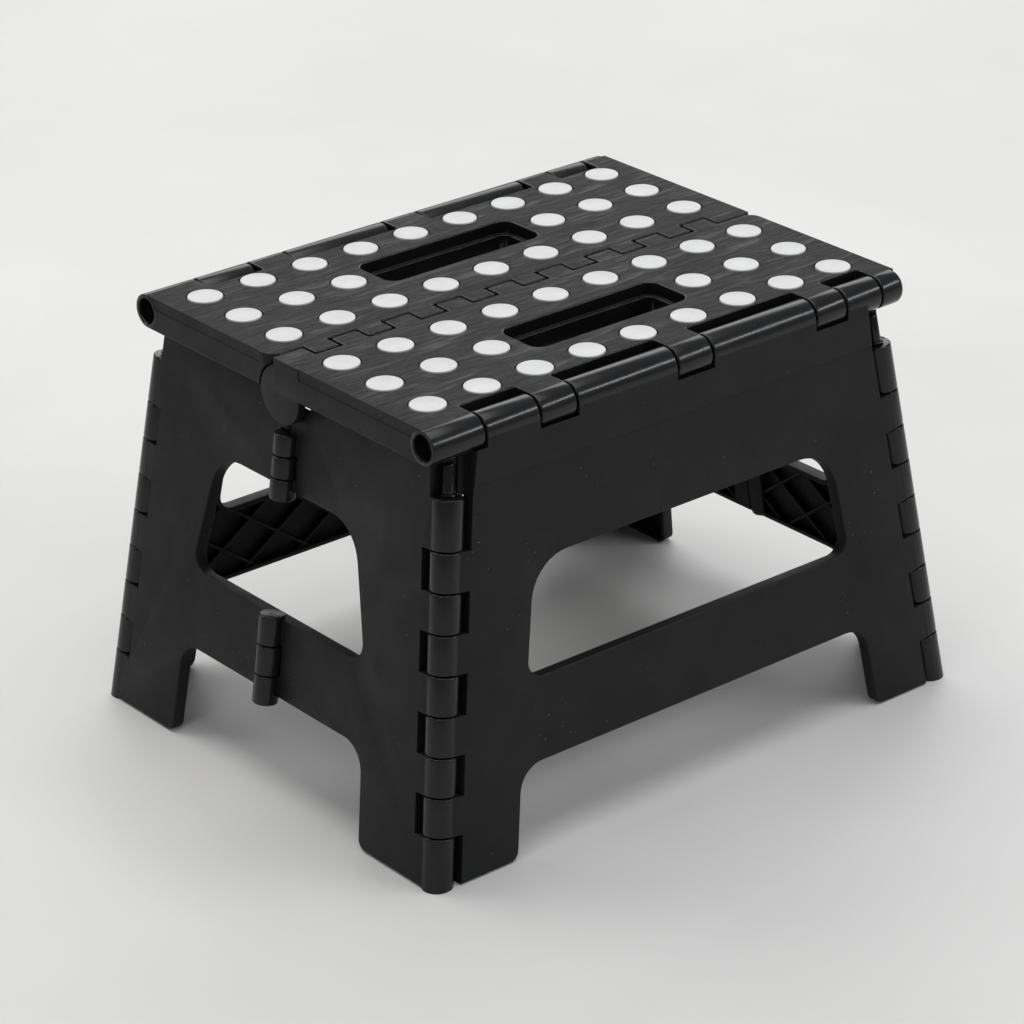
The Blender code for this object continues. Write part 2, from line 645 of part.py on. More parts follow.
def end_pocket_outline(lean, half):
    """The part of an end half that is hollowed, clear of its hinge lines."""
    def at(y, depth, radius=0.0):
        return (half * y, up_wall(DECK_TOP - depth, lean), radius)
    clear = CORNER_R + BARREL_CLEAR
    middle = FOLD_R + BARREL_CLEAR
    corner_y = corner_point(1, 1, 0.0).y - clear
    top_y = corner_point(1, 1, DECK_TOP - END_TOP_DEPTH).y - clear
    points = [at(middle, END_NOTCH_DEPTH), at(middle, END_WINDOW_DEPTH[0]),
              at(END_WINDOW_HALF[0], END_WINDOW_DEPTH[0], END_WINDOW_R[0]),
              at(END_WINDOW_HALF[1], END_WINDOW_DEPTH[1], END_WINDOW_R[1]),
              at(middle, END_WINDOW_DEPTH[1]), at(middle, END_ARCH_DEPTH),
              at(END_ARCH_HALF[0], END_ARCH_DEPTH, ARCH_R),
              at(END_ARCH_HALF[1], DECK_TOP, FOOT_R), at(corner_y, DECK_TOP),
              at(top_y, END_TOP_DEPTH), at(END_NOTCH_HALF + WALL, END_TOP_DEPTH),
              at(END_NOTCH_HALF + WALL, END_NOTCH_DEPTH)]
    return points if half > 0 else points[::-1]


def fold_ranges(first):
    """Every second middle-hinge knuckle of an end from the first, as ranges of height."""
    pairs = []
    for top, step in FOLD_STACKS:
        for index in range(first, FOLD_KNUCKLES, 2):
            high = top - index * step
            pairs.append((high - step, high))
    return pairs


def make_end_half(name, side_x, side_y):
    """Half of an end panel. side_x is -1 at the left end, side_y is -1 for the front half."""
    yaw = -pi / 2 if side_x < 0 else pi / 2
    frame = wall_frame(yaw, CORNER_X, LEAN_X)
    half = side_x * side_y
    panel = plate(name, [rounded(end_outline(LEAN_X, half))], PANEL_INNER, PANEL_OUTER, frame)
    low, high = (up_wall(z, LEAN_X) for z in (0.0, DECK_TOP))
    ribs = [((half * y, high), (half * y, low)) for y in END_RIBS]
    cut(panel, [wall_pocket(end_pocket_outline(LEAN_X, half), [], ribs, frame)])
    low = corner_point(side_x, side_y, -CORNER_R)
    high = corner_point(side_x, side_y, CORNER_TOP + WELD)
    barrels = [rod("corner barrel", low, high, CORNER_R)]
    own_first = 0 if side_y < 0 else 1
    for top, step in FOLD_STACKS:
        barrels.append(rod("fold barrel", fold_point(side_x, top - FOLD_KNUCKLES * step),
                           fold_point(side_x, top), FOLD_R))
    joined(panel, barrels)
    cutters = [floor_cutter()]
    low = corner_point(side_x, side_y, 0.0)
    high = corner_point(side_x, side_y, DECK_TOP)
    ranges = corner_ranges(1)
    scale = (high - low).length / DECK_TOP
    inward = Vector((0, -side_y, 0))
    cutters += corner_notches(low, high, inward, ranges)
    cutters.append(block("top notch", (-NOTCH_REACH, -NOTCH_REACH, CORNER_TOP * scale),
                         (TOP_NOTCH, NOTCH_REACH, DECK_TOP * scale),
                         hinge_frame(low, high, inward)))
    bore_foot = corner_point(side_x, side_y, CORNER_PIN_FOOT / 2)
    cutters.append(bore("corner bore", bore_foot, high, THIN_BORE))
    for bottom, top in fold_ranges(1 - own_first):
        cutters.append(rod("fold room", fold_point(side_x, bottom - GAP / 2),
                           fold_point(side_x, top + GAP / 2), FOLD_R + FOLD_ROOM))
    fold_bore = THIN_BORE if side_x < 0 or side_y < 0 else FREE_BORE
    for top, step in FOLD_STACKS:
        foot = top - FOLD_KNUCKLES * step - OVERCUT
        cutters.append(bore("fold bore", fold_point(side_x, foot),
                            fold_point(side_x, top + OVERCUT), fold_bore))
    return cut(panel, cutters)


# Pins

def headed_pin(name, head, tail, radius, head_radius, head_length):
    """A straight pin whose head is at its first point."""
    along = (tail - head).normalized()
    pin = rod(name, head + along * head_length / 2, tail, radius)
    return joined(pin, [rod("head", head, head + along * head_length, head_radius, ROUND_SIDES)])


def make_corner_pin(name, side_x, side_y):
    head_depth, head_radius, head_length = CORNER_HEAD
    head = corner_point(side_x, side_y, DECK_TOP - head_depth)
    tail = corner_point(side_x, side_y, CORNER_PIN_FOOT)
    return headed_pin(name, head, tail, THIN_PIN_R, head_radius, head_length)


def make_fold_pin(name, side_x, top, step):
    low = fold_point(side_x, top - FOLD_KNUCKLES * step + PIN_GAP)
    return rod(name, low, fold_point(side_x, top - PIN_GAP), THIN_PIN_R)


# The stool

def build():
    sides_plastic = material("side_plastic", (0.016, 0.016, 0.017), 0.48)
    deck_plastic = material("deck_plastic", (0.045, 0.045, 0.047), 0.55)
    dot_rubber = material("dot_rubber", (0.82, 0.82, 0.83), 0.6)
    steel = material("pin_steel", (0.35, 0.35, 0.36), 0.35, 1.0)
    black = material("pin_black", (0.010, 0.010, 0.011), 0.25)
    names = {-1: "front", 1: "rear"}
    ends = {-1: "left", 1: "right"}

    for side in (-1, 1):
        deck = make_deck(names[side] + "_deck", side)
        hinge = "rear_edge_hinge" if side > 0 else "deck_centre_hinge"
        place = (0, EDGE_Y, EDGE_Z) if side > 0 else (0, 0, CENTRE_Z)
        publish(deck, deck_plastic, hinge, place)
        for row in range(len(DOT_ROWS)):
            runs = dot_columns(row)
            for run, columns in enumerate(runs):
                part = "" if len(runs) == 1 else ("_left", "_right")[run]
                label = names[side] + "_dots_" + ("inner", "middle", "outer")[row] + part
                publish(make_dots(label, side, row, columns), dot_rubber, hinge, place)

    for side in (-1, 1):
        hinge = "rear_panel_base" if side > 0 else "left_front_corner_hinge"
        place = (0, CORNER_Y, 0) if side > 0 else corner_point(-1, -1, CORNER_TOP)
        publish(make_long_panel(names[side] + "_panel", side), sides_plastic, hinge, place)
        length = DECK_HALF_LENGTH - EDGE_PIN_SHORT
        pin = rod(names[side] + "_edge_pin", (-length, side * EDGE_Y, EDGE_Z),
                  (length, side * EDGE_Y, EDGE_Z), EDGE_PIN_R)
        publish(pin, steel, hinge, place)
        for side_x in (-1, 1):
            pin_name = names[side] + "_" + ends[side_x] + "_corner_pin"
            publish(make_corner_pin(pin_name, side_x, side), black, hinge, place)

    for side_x in (-1, 1):
        for side_y in (-1, 1):
            name = ends[side_x] + "_" + names[side_y] + "_end"
            if side_x < 0 and side_y < 0:
                hinge, place = "left_fold_hinge", fold_point(-1, FOLD_STACKS[1][0])
            else:
                hinge = ends[side_x] + "_" + names[side_y] + "_corner_hinge"
                place = corner_point(side_x, side_y, CORNER_TOP)
            publish(make_end_half(name, side_x, side_y), sides_plastic, hinge, place)
            if side_y < 0:
                for label, (top, step) in zip(("upper", "lower"), FOLD_STACKS):
                    pin = make_fold_pin(ends[side_x] + "_" + label + "_fold_pin", side_x, top, step)
                    publish(pin, steel, hinge, place)

    length = DECK_HALF_LENGTH - CENTRE_PIN_SHORT
    pin = rod("deck_centre_pin", (-length, 0, CENTRE_Z), (length, 0, CENTRE_Z), THIN_PIN_R)
    publish(pin, steel, "rear_edge_hinge", (0, EDGE_Y, EDGE_Z))


clear_scene()
STOOL = new_collection(MAIN_COLLECTION)
CUTTERS = new_collection("cutters")
HINGES = {}
build()
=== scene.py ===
import json
from math import atan2, ceil, cos, hypot, pi, radians, sin, tan

import bmesh
import bpy
from mathutils import Matrix, Vector

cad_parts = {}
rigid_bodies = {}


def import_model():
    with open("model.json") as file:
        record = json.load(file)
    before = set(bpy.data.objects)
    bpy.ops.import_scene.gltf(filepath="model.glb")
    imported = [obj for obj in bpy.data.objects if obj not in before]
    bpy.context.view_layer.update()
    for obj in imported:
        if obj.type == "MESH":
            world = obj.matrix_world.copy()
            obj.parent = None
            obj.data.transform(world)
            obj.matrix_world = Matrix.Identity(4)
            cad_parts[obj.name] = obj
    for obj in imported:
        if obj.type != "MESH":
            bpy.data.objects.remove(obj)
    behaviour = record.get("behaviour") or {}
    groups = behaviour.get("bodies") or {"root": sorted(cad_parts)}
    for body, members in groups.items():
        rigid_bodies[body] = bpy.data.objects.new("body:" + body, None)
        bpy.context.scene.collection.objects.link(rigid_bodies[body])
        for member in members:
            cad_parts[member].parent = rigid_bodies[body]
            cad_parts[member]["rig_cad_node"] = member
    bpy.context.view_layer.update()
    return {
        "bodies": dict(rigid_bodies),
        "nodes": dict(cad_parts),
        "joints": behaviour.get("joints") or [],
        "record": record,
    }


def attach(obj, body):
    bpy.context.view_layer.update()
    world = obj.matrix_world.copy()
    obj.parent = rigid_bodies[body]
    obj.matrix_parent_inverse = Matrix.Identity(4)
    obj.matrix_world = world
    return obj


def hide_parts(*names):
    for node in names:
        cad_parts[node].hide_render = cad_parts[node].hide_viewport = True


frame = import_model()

# Sizes of the fixed frame. A depth is measured down from the deck's surface.
DECK_TOP = 0.2167
HALF_LENGTH = 0.144
DECK_DEPTH = 0.017
DECK_SKIN = 0.003
WALL = 0.0026                # ribs and inner walls of every moulding

# Hinges between the deck's long edges and the long panels
EDGE_Y = 0.1062
EDGE_Z = DECK_TOP - 0.0085
EDGE_R = 0.0084
EDGE_SPLITS = [-0.1440, -0.1142, -0.0828, -0.0613, -0.0008,
               0.0208, 0.0862, 0.1058, 0.1292, 0.1440]
DECK_KNUCKLES = list(zip(EDGE_SPLITS[0::2], EDGE_SPLITS[1::2]))
PANEL_KNUCKLES = list(zip(EDGE_SPLITS[1::2], EDGE_SPLITS[2::2]))
EDGE_GAP = 0.0012
KNUCKLE_NOTCH = 0.0026       # from the panel's knuckles to the deck's notches around them
EDGE_PIN_R = 0.0025
EDGE_PIN_INSET = 0.007
BORE_R = 0.0065              # the open end of the bore, at the deck's left
BORE_DEPTH = 0.009

# Panels lean by LEAN_X or LEAN_Y of their height. Their faces lie INNER to OUTER from their plane.
CORNER_X = 0.1277
CORNER_Y = 0.1050
LEAN_X = 0.142
LEAN_Y = 0.097
INNER = 0.0005
OUTER = 0.0072
SKIN = 0.0026
POCKET_ROOM = 0.002          # from a hinge's knuckles to the hollow behind a panel's skin
END_TOP = 0.0182             # depths of the panels' top edges
LONG_TOP = 0.0176
LIP_TOP = 0.0141             # the same at a long panel's outer face, which follows the barrels
BAND_FOOT = 0.0315           # depth of the step line under a long panel's thick top band
BAND_PROUD = 0.0005

# Openings, as (half width, depth, corner radius) of their upper and lower corners
LONG_WINDOW = ((0.0915, 0.076, 0.023), (0.1010, 0.132, 0.008))
LONG_ARCH = ((0.1085, 0.173, 0.014), (0.1150, DECK_TOP, 0.005))
END_WINDOW = ((0.0530, 0.066, 0.022), (0.0680, 0.129, 0.009))
END_ARCH = ((0.0710, 0.168, 0.014), (0.0750, DECK_TOP, 0.005))
END_NOTCH = (0.0140, 0.0270, 0.005)

# Ribs behind the panels
RIB_PITCH = 0.034
RIB_SLOPE = 0.75
RIB_HALF = 0.0007
RIB_SETBACK = 0.0008

# Corner hinges
CORNER_R = 0.0075
CORNER_TOP = DECK_TOP - 0.035
CORNER_LENGTHS = [0.024] + [0.019] * 7 + [0.0247]
GAP = 0.0006
CORNER_CLEAR = 0.0009
TOP_NOTCH = 0.0038
PANEL_WEB = 0.0021
HEAD_ROOM = 0.0010           # from a corner's top knuckle to the web beside its pin
NOTCH_REACH = 0.020
PIN_R = 0.0020               # of the corner, middle and centre pins
PIN_TOP = 0.0197
PIN_FOOT = 0.006             # height of the corner pins' lower ends
PIN_HEAD = [(0.0, 0.0), (0.0022, 0.0), (0.0027, 0.0002), (0.0030, 0.0007), (0.0030, 0.0137),
            (0.0040, 0.0140), (0.0042, 0.0144), (0.0040, 0.0148), (PIN_R, 0.0149)]

# Middle hinges of the ends, which meet the corner hinges' lines at an apex above the deck
APEX_Z = EDGE_Z + CORNER_Y / LEAN_Y
APEX_X = LEAN_X * CORNER_Y / LEAN_Y - CORNER_X
FOLD_LEAN = LEAN_X + 0.00776
FOLD_R = 0.0062
FOLD_ROOM = 0.0009
FOLD_KNUCKLES = 3
FOLD_STACKS = [(DECK_TOP - 0.037, 0.0108), (DECK_TOP - 0.126, 0.0150)]

# The deck's seam and centre hinge
CENTRE_Z = DECK_TOP - 0.01775
PITCH = 0.031
SEAM_REACH = 0.005
SEAM_GAP = 0.0007
REAR_TAB = 0.015
FIRST_REAR_TAB = -0.126
SEAM_TABS = 9
SEAM_R = 0.0054
EAR_R = 0.0145
EAR_T = 0.0045
EAR_GAP = 0.0010
STEP_DEPTH = 0.0058          # step line round the deck's ends
STEP_IN = 0.00035
CENTRE_PIN_INSET = 0.0025

# Hand slots and dots
SLOT_HALF = 0.047
SLOT_Y = (0.040, 0.069)
SLOT_R = 0.0065
LEDGE = 0.0022
LEDGE_DEPTH = 0.0065
DOT_ROWS = (0.0222, 0.0540, 0.0852)
DOT_COLUMNS = 9
DOT_R = 0.0085
SEAT_ROOM = 0.0008
SEAT_DEPTH = 0.0009
STEM_R = 0.0022
RUNNER_HALF = 0.0015
RUNNER = (0.0048, 0.0033)    # depths of the runner's lower and upper faces

# Fineness of the visible surface
SIDES = 48
ROUND_SIDES = 96             # of the large ears
ARC_STEP = pi / 20
RIM_STEPS = 5
RIM = 0.0008                 # rounding of a knuckle's ends
EDGE = 0.0007                # rounding of a moulding's edges
OVER = 0.001
FAR = 0.3                    # past the whole stool
BULGE = 0.00003              # keeps faces that would lie in one plane apart
FILL_TURN = Matrix.Rotation(0.3, 4, "Z")  # the fill fails on level rows of points

scene = bpy.context.scene


# Outlines

def rounded(corners):
    """Points of a closed outline whose corners are (x, y, radius)."""
    points = []
    for index, (x, y, radius) in enumerate(corners):
        corner = Vector((x, y))
        if radius <= 0:
            points.append(corner)
            continue
        before = (Vector(corners[index - 1][:2]) - corner).normalized()
        after = (Vector(corners[(index + 1) % len(corners)][:2]) - corner).normalized()
        half = before.angle(after) / 2
        centre = corner + (before + after).normalized() * (radius / sin(half))
        start = corner + before * (radius / tan(half)) - centre
        end = corner + after * (radius / tan(half)) - centre
        turn = atan2(start.cross(end), start.dot(end))
        steps = max(3, ceil(abs(turn) / ARC_STEP))
        for step in range(steps + 1):
            points.append(centre + Matrix.Rotation(turn * step / steps, 2) @ start)
    return points


def inset(corners, distance):
    """The same outline moved inward by a distance, for corners listed anticlockwise."""
    moved = []
    count = len(corners)
    for index, (x, y, radius) in enumerate(corners):
        corner = Vector((x, y))
        back = (corner - Vector(corners[index - 1][:2])).normalized()
        ahead = (Vector(corners[(index + 1) % count][:2]) - corner).normalized()
        left_back = Vector((-back.y, back.x))
        left_ahead = Vector((-ahead.y, ahead.x))
        shift = (left_back + left_ahead) * (distance / (1 + left_back.dot(left_ahead)))
        convex = back.cross(ahead) > 0
        new_radius = radius - distance if convex else radius + distance
        moved.append((x + shift.x, y + shift.y, max(new_radius, 0.0) if radius > 0 else 0.0))
    return moved


# Solids

def solid(name, mesh, slot=0):
    """An object from a mesh, with every face facing out and in one look."""
    mesh.materials.clear()
    for look in LOOKS:
        mesh.materials.append(look)
    work = bmesh.new()
    work.from_mesh(mesh)
    bmesh.ops.remove_doubles(work, verts=work.verts, dist=0.000004)
    bmesh.ops.recalc_face_normals(work, faces=work.faces)
    for face in work.faces:
        face.material_index = slot
    work.to_mesh(mesh)
    work.free()
    made = bpy.data.objects.new(name, mesh)
    scene.collection.objects.link(made)
    return made


def plate(name, outline, holes, low, high, place, edge=0.0, slot=0):
    """An outline with holes, given thickness along the frame's third axis, its rims rounded."""
    curve = bpy.data.curves.new(name, "CURVE")
    curve.dimensions = "2D"
    curve.fill_mode = "BOTH"
    curve.extrude = (high - low) / 2 - edge
    curve.bevel_depth = edge
    curve.bevel_resolution = 2
    loops = [rounded(inset(outline, edge))] + [rounded(inset(hole, -edge)) for hole in holes]
    for loop in loops:
        spline = curve.splines.new("POLY")
        spline.points.add(len(loop) - 1)
        for point, spot in zip(spline.points, loop):
            point.co = (*(FILL_TURN @ spot.to_3d()), 1.0)
        spline.use_cyclic_u = True
    holder = bpy.data.objects.new(name, curve)
    scene.collection.objects.link(holder)
    bpy.context.view_layer.update()
    graph = bpy.context.evaluated_depsgraph_get()
    mesh = bpy.data.meshes.new_from_object(holder.evaluated_get(graph))
    bpy.data.objects.remove(holder, do_unlink=True)
    mesh.transform(place @ Matrix.Translation((0, 0, (low + high) / 2)) @ FILL_TURN.inverted())
    return solid(name, mesh, slot)


def block(name, low, high, place=Matrix(), slot=0):
    work = bmesh.new()
    bmesh.ops.create_cube(work, size=1.0)
    middle = (Vector(low) + Vector(high)) / 2
    size = Vector(high) - Vector(low)
    move = place @ Matrix.Translation(middle) @ Matrix.Diagonal((*size, 1.0))
    bmesh.ops.transform(work, matrix=move, verts=work.verts)
    mesh = bpy.data.meshes.new(name)
    work.to_mesh(mesh)
    work.free()
    return solid(name, mesh, slot)


def turned(name, profile, place, slot=0, sides=SIDES):
    """A solid of revolution about the frame's third axis. The profile is (radius, height) pairs."""
    work = bmesh.new()
    rings = []
    for radius, height in profile:
        if radius < 1e-7:
            rings.append([work.verts.new(place @ Vector((0, 0, height)))])
        else:
            rings.append([work.verts.new(place @ Vector((radius * cos(2 * pi * n / sides),
                                                         radius * sin(2 * pi * n / sides),
                                                         height))) for n in range(sides)])
    for lower, upper in zip(rings, rings[1:]):
        for n in range(sides):
            m = (n + 1) % sides
            if len(lower) == 1 and len(upper) > 1:
                work.faces.new((lower[0], upper[n], upper[m]))
            elif len(upper) == 1 and len(lower) > 1:
                work.faces.new((lower[n], lower[m], upper[0]))
            elif len(lower) > 1:
                work.faces.new((lower[n], lower[m], upper[m], upper[n]))
    mesh = bpy.data.meshes.new(name)
    work.to_mesh(mesh)
    work.free()
    return solid(name, mesh, slot)


def along(start, end):
    """A frame at start whose third axis points at end."""
    start, end = Vector(start), Vector(end)
    turn = (end - start).to_track_quat("Z", "Y").to_matrix().to_4x4()
    return Matrix.Translation(start) @ turn


def rim_profile(radius, length, rim, rim_end=None):
    """Profile of a bar with rounded ends."""
    rim_end = rim if rim_end is None else rim_end
    profile = [(0.0, 0.0)]
    for n in range(RIM_STEPS + 1):
        turn = pi / 2 * n / RIM_STEPS
        profile.append((radius - rim + rim * sin(turn), rim - rim * cos(turn)))
    for n in range(RIM_STEPS + 1):
        turn = pi / 2 * n / RIM_STEPS
        profile.append((radius - rim_end + rim_end * cos(turn),
                        length - rim_end + rim_end * sin(turn)))
    return profile + [(0.0, length)]


def rod(name, start, end, radius, rim=0.0, rim_end=None, slot=0, sides=SIDES):
    """A round bar between two points, with plain or rounded ends."""
    length = (Vector(end) - Vector(start)).length
    if rim <= 0:
        profile = [(0.0, 0.0), (radius, 0.0), (radius, length), (0.0, length)]
    else:
        profile = rim_profile(radius, length, rim, rim_end)
    return turned(name, profile, along(start, end), slot, sides)


def drop(item):
    bpy.data.objects.remove(item, do_unlink=True)


def merged(base, others):
    """Put other objects' meshes into the base as they are."""
    work = bmesh.new()
    for item in [base] + others:
        work.from_mesh(item.data)
    work.to_mesh(base.data)
    work.free()
    for item in others:
        drop(item)
    return base


def combine(base, others, operation, crossing=False):
    """Join or cut with a Boolean, with the others put together first where they may cross."""
    if not others:
        return base
    if crossing:
        others = [merged(others[0], others[1:])]
    for other in others:
        change = base.modifiers.new(operation.title(), "BOOLEAN")
        change.operation = operation
        change.solver = "EXACT"
        change.use_self = crossing
        change.object = other
    bpy.context.view_layer.update()
    graph = bpy.context.evaluated_depsgraph_get()
    mesh = bpy.data.meshes.new_from_object(base.evaluated_get(graph))
    base.modifiers.clear()
    base.data = mesh
    for other in others:
        drop(other)
    return base


def below_floor():
    return block("floor", (-FAR, -FAR, -FAR), (FAR, FAR, 0.0))


def cut(base, others, crossing=False):
    return combine(base, others, "DIFFERENCE", crossing)


def joined(base, others):
    return combine(base, others, "UNION")


def finish(piece, body, slot_name, *nodes, angle=32):
    """Shade a finished piece, let it ride on its body and stand for its CAD nodes."""
    piece.data.shade_smooth()
    piece.data.set_sharp_from_angle(angle=radians(angle))
    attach(piece, body)
    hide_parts(*nodes)
    return piece


# Frames and hinge lines

def wall_frame(yaw, distance, lean):
    """A leaning wall's own axes: along it, up it, and out of it."""
    slope = hypot(1.0, lean)
    across = Vector((1.0, 0.0, 0.0))
    up = Vector((0.0, lean / slope, 1.0 / slope))
    out = Vector((0.0, -1.0 / slope, lean / slope))
    axes = Matrix((across, up, out)).transposed().to_4x4()
    return Matrix.Rotation(yaw, 4, "Z") @ Matrix.Translation((0, -distance, EDGE_Z)) @ axes


def up_wall(z, lean):
    return (z - EDGE_Z) * hypot(1.0, lean)


def corner_point(side_x, side_y, z):
    fall = EDGE_Z - z
    return Vector((side_x * (CORNER_X + LEAN_X * fall), side_y * (CORNER_Y + LEAN_Y * fall), z))


def fold_point(side_x, z):
    return Vector((side_x * (FOLD_LEAN * (APEX_Z - z) - APEX_X), 0.0, z))


def hinge_frame(low, high, inward):
    """Axes on a hinge line: X toward the piece that it holds, Z up along the line."""
    line = (high - low).normalized()
    toward = (inward - line * inward.dot(line)).normalized()
    axes = Matrix((toward, line.cross(toward), line)).transposed().to_4x4()
    return Matrix.Translation(low) @ axes


def corner_notch(low, high, inward, start, end):
    """Clears a panel away from a stretch of its corner hinge line."""
    return block("notch", (-NOTCH_REACH, -NOTCH_REACH, start),
                 (CORNER_R + CORNER_CLEAR, NOTCH_REACH, end), hinge_frame(low, high, inward))


def corner_knuckles(first):
    """Every second corner knuckle from the first, as lengths up the hinge line from the floor."""
    scale = hypot(1.0, hypot(LEAN_X, LEAN_Y))
    ranges = []
    top = CORNER_TOP
    for index, length in enumerate(CORNER_LENGTHS):
        if index % 2 == first:
            ranges.append(((top - length) * scale, top * scale))
        top -= length
    return ranges


# Looks

def noise(tree, place, scale, detail=3.0, roughness=0.55, stretch=None):
    """A noise pattern in the object's own space, stretched if asked."""
    source = place.outputs["Object"]
    if stretch:
        mapping = tree.nodes.new("ShaderNodeMapping")
        mapping.inputs["Scale"].default_value = stretch
        tree.links.new(source, mapping.inputs["Vector"])
        source = mapping.outputs["Vector"]
    made = tree.nodes.new("ShaderNodeTexNoise")
    made.inputs["Scale"].default_value = scale
    made.inputs["Detail"].default_value = detail
    made.inputs["Roughness"].default_value = roughness
    tree.links.new(source, made.inputs["Vector"])
    return made.outputs["Fac"]


def spread(tree, value, low, high, out_low, out_high):
    """A value's range stretched to another, and held at its ends."""
    made = tree.nodes.new("ShaderNodeMapRange")
    for key, number in zip(("From Min", "From Max", "To Min", "To Max"),
                           (low, high, out_low, out_high)):
        made.inputs[key].default_value = number
    tree.links.new(value, made.inputs["Value"])
    return made.outputs["Result"]


def arithmetic(tree, operation, first, second):
    made = tree.nodes.new("ShaderNodeMath")
    made.operation = operation
    tree.links.new(first, made.inputs[0])
    tree.links.new(second, made.inputs[1])
    return made.outputs[0]


def blend_colours(tree, factor, first, second):
    made = tree.nodes.new("ShaderNodeMix")
    made.data_type = "RGBA"
    tree.links.new(factor, made.inputs["Factor"])
    for socket, value in ((made.inputs["A"], first), (made.inputs["B"], second)):
        if isinstance(value, tuple):
            socket.default_value = (*value, 1.0)
        else:
            tree.links.new(value, socket)
    return made.outputs["Result"]


def bumped(tree, height, strength, distance, normal=None):
    made = tree.nodes.new("ShaderNodeBump")
    made.inputs["Strength"].default_value = strength
    made.inputs["Distance"].default_value = distance
    tree.links.new(height, made.inputs["Height"])
    if normal is not None:
        tree.links.new(normal, made.inputs["Normal"])
    return made.outputs["Normal"]


def new_look(name):
    look = bpy.data.materials.new(name)
    look.use_nodes = True
    tree = look.node_tree
    shader = tree.nodes["Principled BSDF"]
    place = tree.nodes.new("ShaderNodeTexCoord")
    soft = tree.nodes.new("ShaderNodeBevel")
    soft.samples = 4
    soft.inputs["Radius"].default_value = 0.00045
    return look, tree, shader, place, soft.outputs["Normal"]


def plastic(name, dark, light, gloss, stipple, speckle=0.0, grain=0.0, shine=0.5):
    """Moulded plastic with a fine stipple, faint tone and sheen changes, dust and rubbed marks."""
    look, tree, shader, place, normal = new_look(name)
    cloud = noise(tree, place, 26.0, 5.0)
    tone = blend_colours(tree, spread(tree, cloud, 0.3, 0.7, 0.0, 1.0), dark, light)
    dust = spread(tree, noise(tree, place, 900.0, 1.0), 0.765, 0.785, 0.0, speckle)
    patch = spread(tree, noise(tree, place, 40.0, 2.0), 0.5, 0.68, 0.0, 1.0)
    tone = blend_colours(tree, arithmetic(tree, "MULTIPLY", dust, patch), tone, (0.42, 0.42, 0.41))
    tree.links.new(tone, shader.inputs["Base Color"])
    sheen = spread(tree, noise(tree, place, 60.0, 4.0), 0.3, 0.7, gloss[0], gloss[1])
    rub = spread(tree, noise(tree, place, 55.0, 6.0, 0.7, (0.25, 1.0, 3.0)), 0.62, 0.7, 0.0, -0.06)
    tree.links.new(arithmetic(tree, "ADD", sheen, rub), shader.inputs["Roughness"])
    normal = bumped(tree, noise(tree, place, 1500.0, 2.0, 0.6), stipple, 0.00012, normal)
    normal = bumped(tree, noise(tree, place, 85.0, 2.0), 0.12, 0.0004, normal)
    if grain > 0:
        streak = spread(tree, noise(tree, place, 230.0, 6.0, 0.7, (0.14, 1.0, 1.0)),
                        0.38, 0.58, 0.0, 1.0)
        normal = bumped(tree, streak, grain, 0.0005, normal)
        tone = blend_colours(tree, streak, tuple(c * 0.30 for c in dark), tone)
        tree.links.new(tone, shader.inputs["Base Color"])
    tree.links.new(normal, shader.inputs["Normal"])
    shader.inputs["Specular IOR Level"].default_value = shine
    shader.inputs["IOR"].default_value = 1.49
    return look


def rubber_look(name):
    look, tree, shader, place, normal = new_look(name)
    cloud = noise(tree, place, 120.0, 4.0)
    tone = blend_colours(tree, spread(tree, cloud, 0.3, 0.75, 0.0, 1.0),
                         (0.53, 0.53, 0.53), (0.47, 0.47, 0.468))
    tree.links.new(tone, shader.inputs["Base Color"])
    tree.links.new(spread(tree, noise(tree, place, 70.0), 0.3, 0.7, 0.42, 0.58),
                   shader.inputs["Roughness"])
    normal = bumped(tree, noise(tree, place, 900.0, 2.0), 0.18, 0.0001, normal)
    tree.links.new(normal, shader.inputs["Normal"])
    return look


def steel_look(name):
    look, tree, shader, place, normal = new_look(name)
    drawn = noise(tree, place, 300.0, 4.0, 0.6, (0.05, 1.0, 1.0))
    tone = blend_colours(tree, drawn, (0.30, 0.30, 0.31), (0.45, 0.45, 0.46))
    tree.links.new(tone, shader.inputs["Base Color"])
    shader.inputs["Metallic"].default_value = 1.0
    tree.links.new(spread(tree, drawn, 0.3, 0.7, 0.25, 0.42), shader.inputs["Roughness"])
    tree.links.new(bumped(tree, drawn, 0.15, 0.0001, normal), shader.inputs["Normal"])
    return look


def floor_look(name):
    look = bpy.data.materials.new(name)
    look.use_nodes = True
    tree = look.node_tree
    shader = tree.nodes["Principled BSDF"]
    place = tree.nodes.new("ShaderNodeTexCoord")
    cloud = noise(tree, place, 2.2, 6.0, 0.6)
    tone = blend_colours(tree, spread(tree, cloud, 0.3, 0.7, 0.0, 1.0),
                         (0.56, 0.555, 0.545), (0.62, 0.615, 0.605))
    tree.links.new(tone, shader.inputs["Base Color"])
    shader.inputs["Roughness"].default_value = 0.55
    fine = bumped(tree, noise(tree, place, 240.0, 3.0), 0.06, 0.0004)
    tree.links.new(fine, shader.inputs["Normal"])
    return look


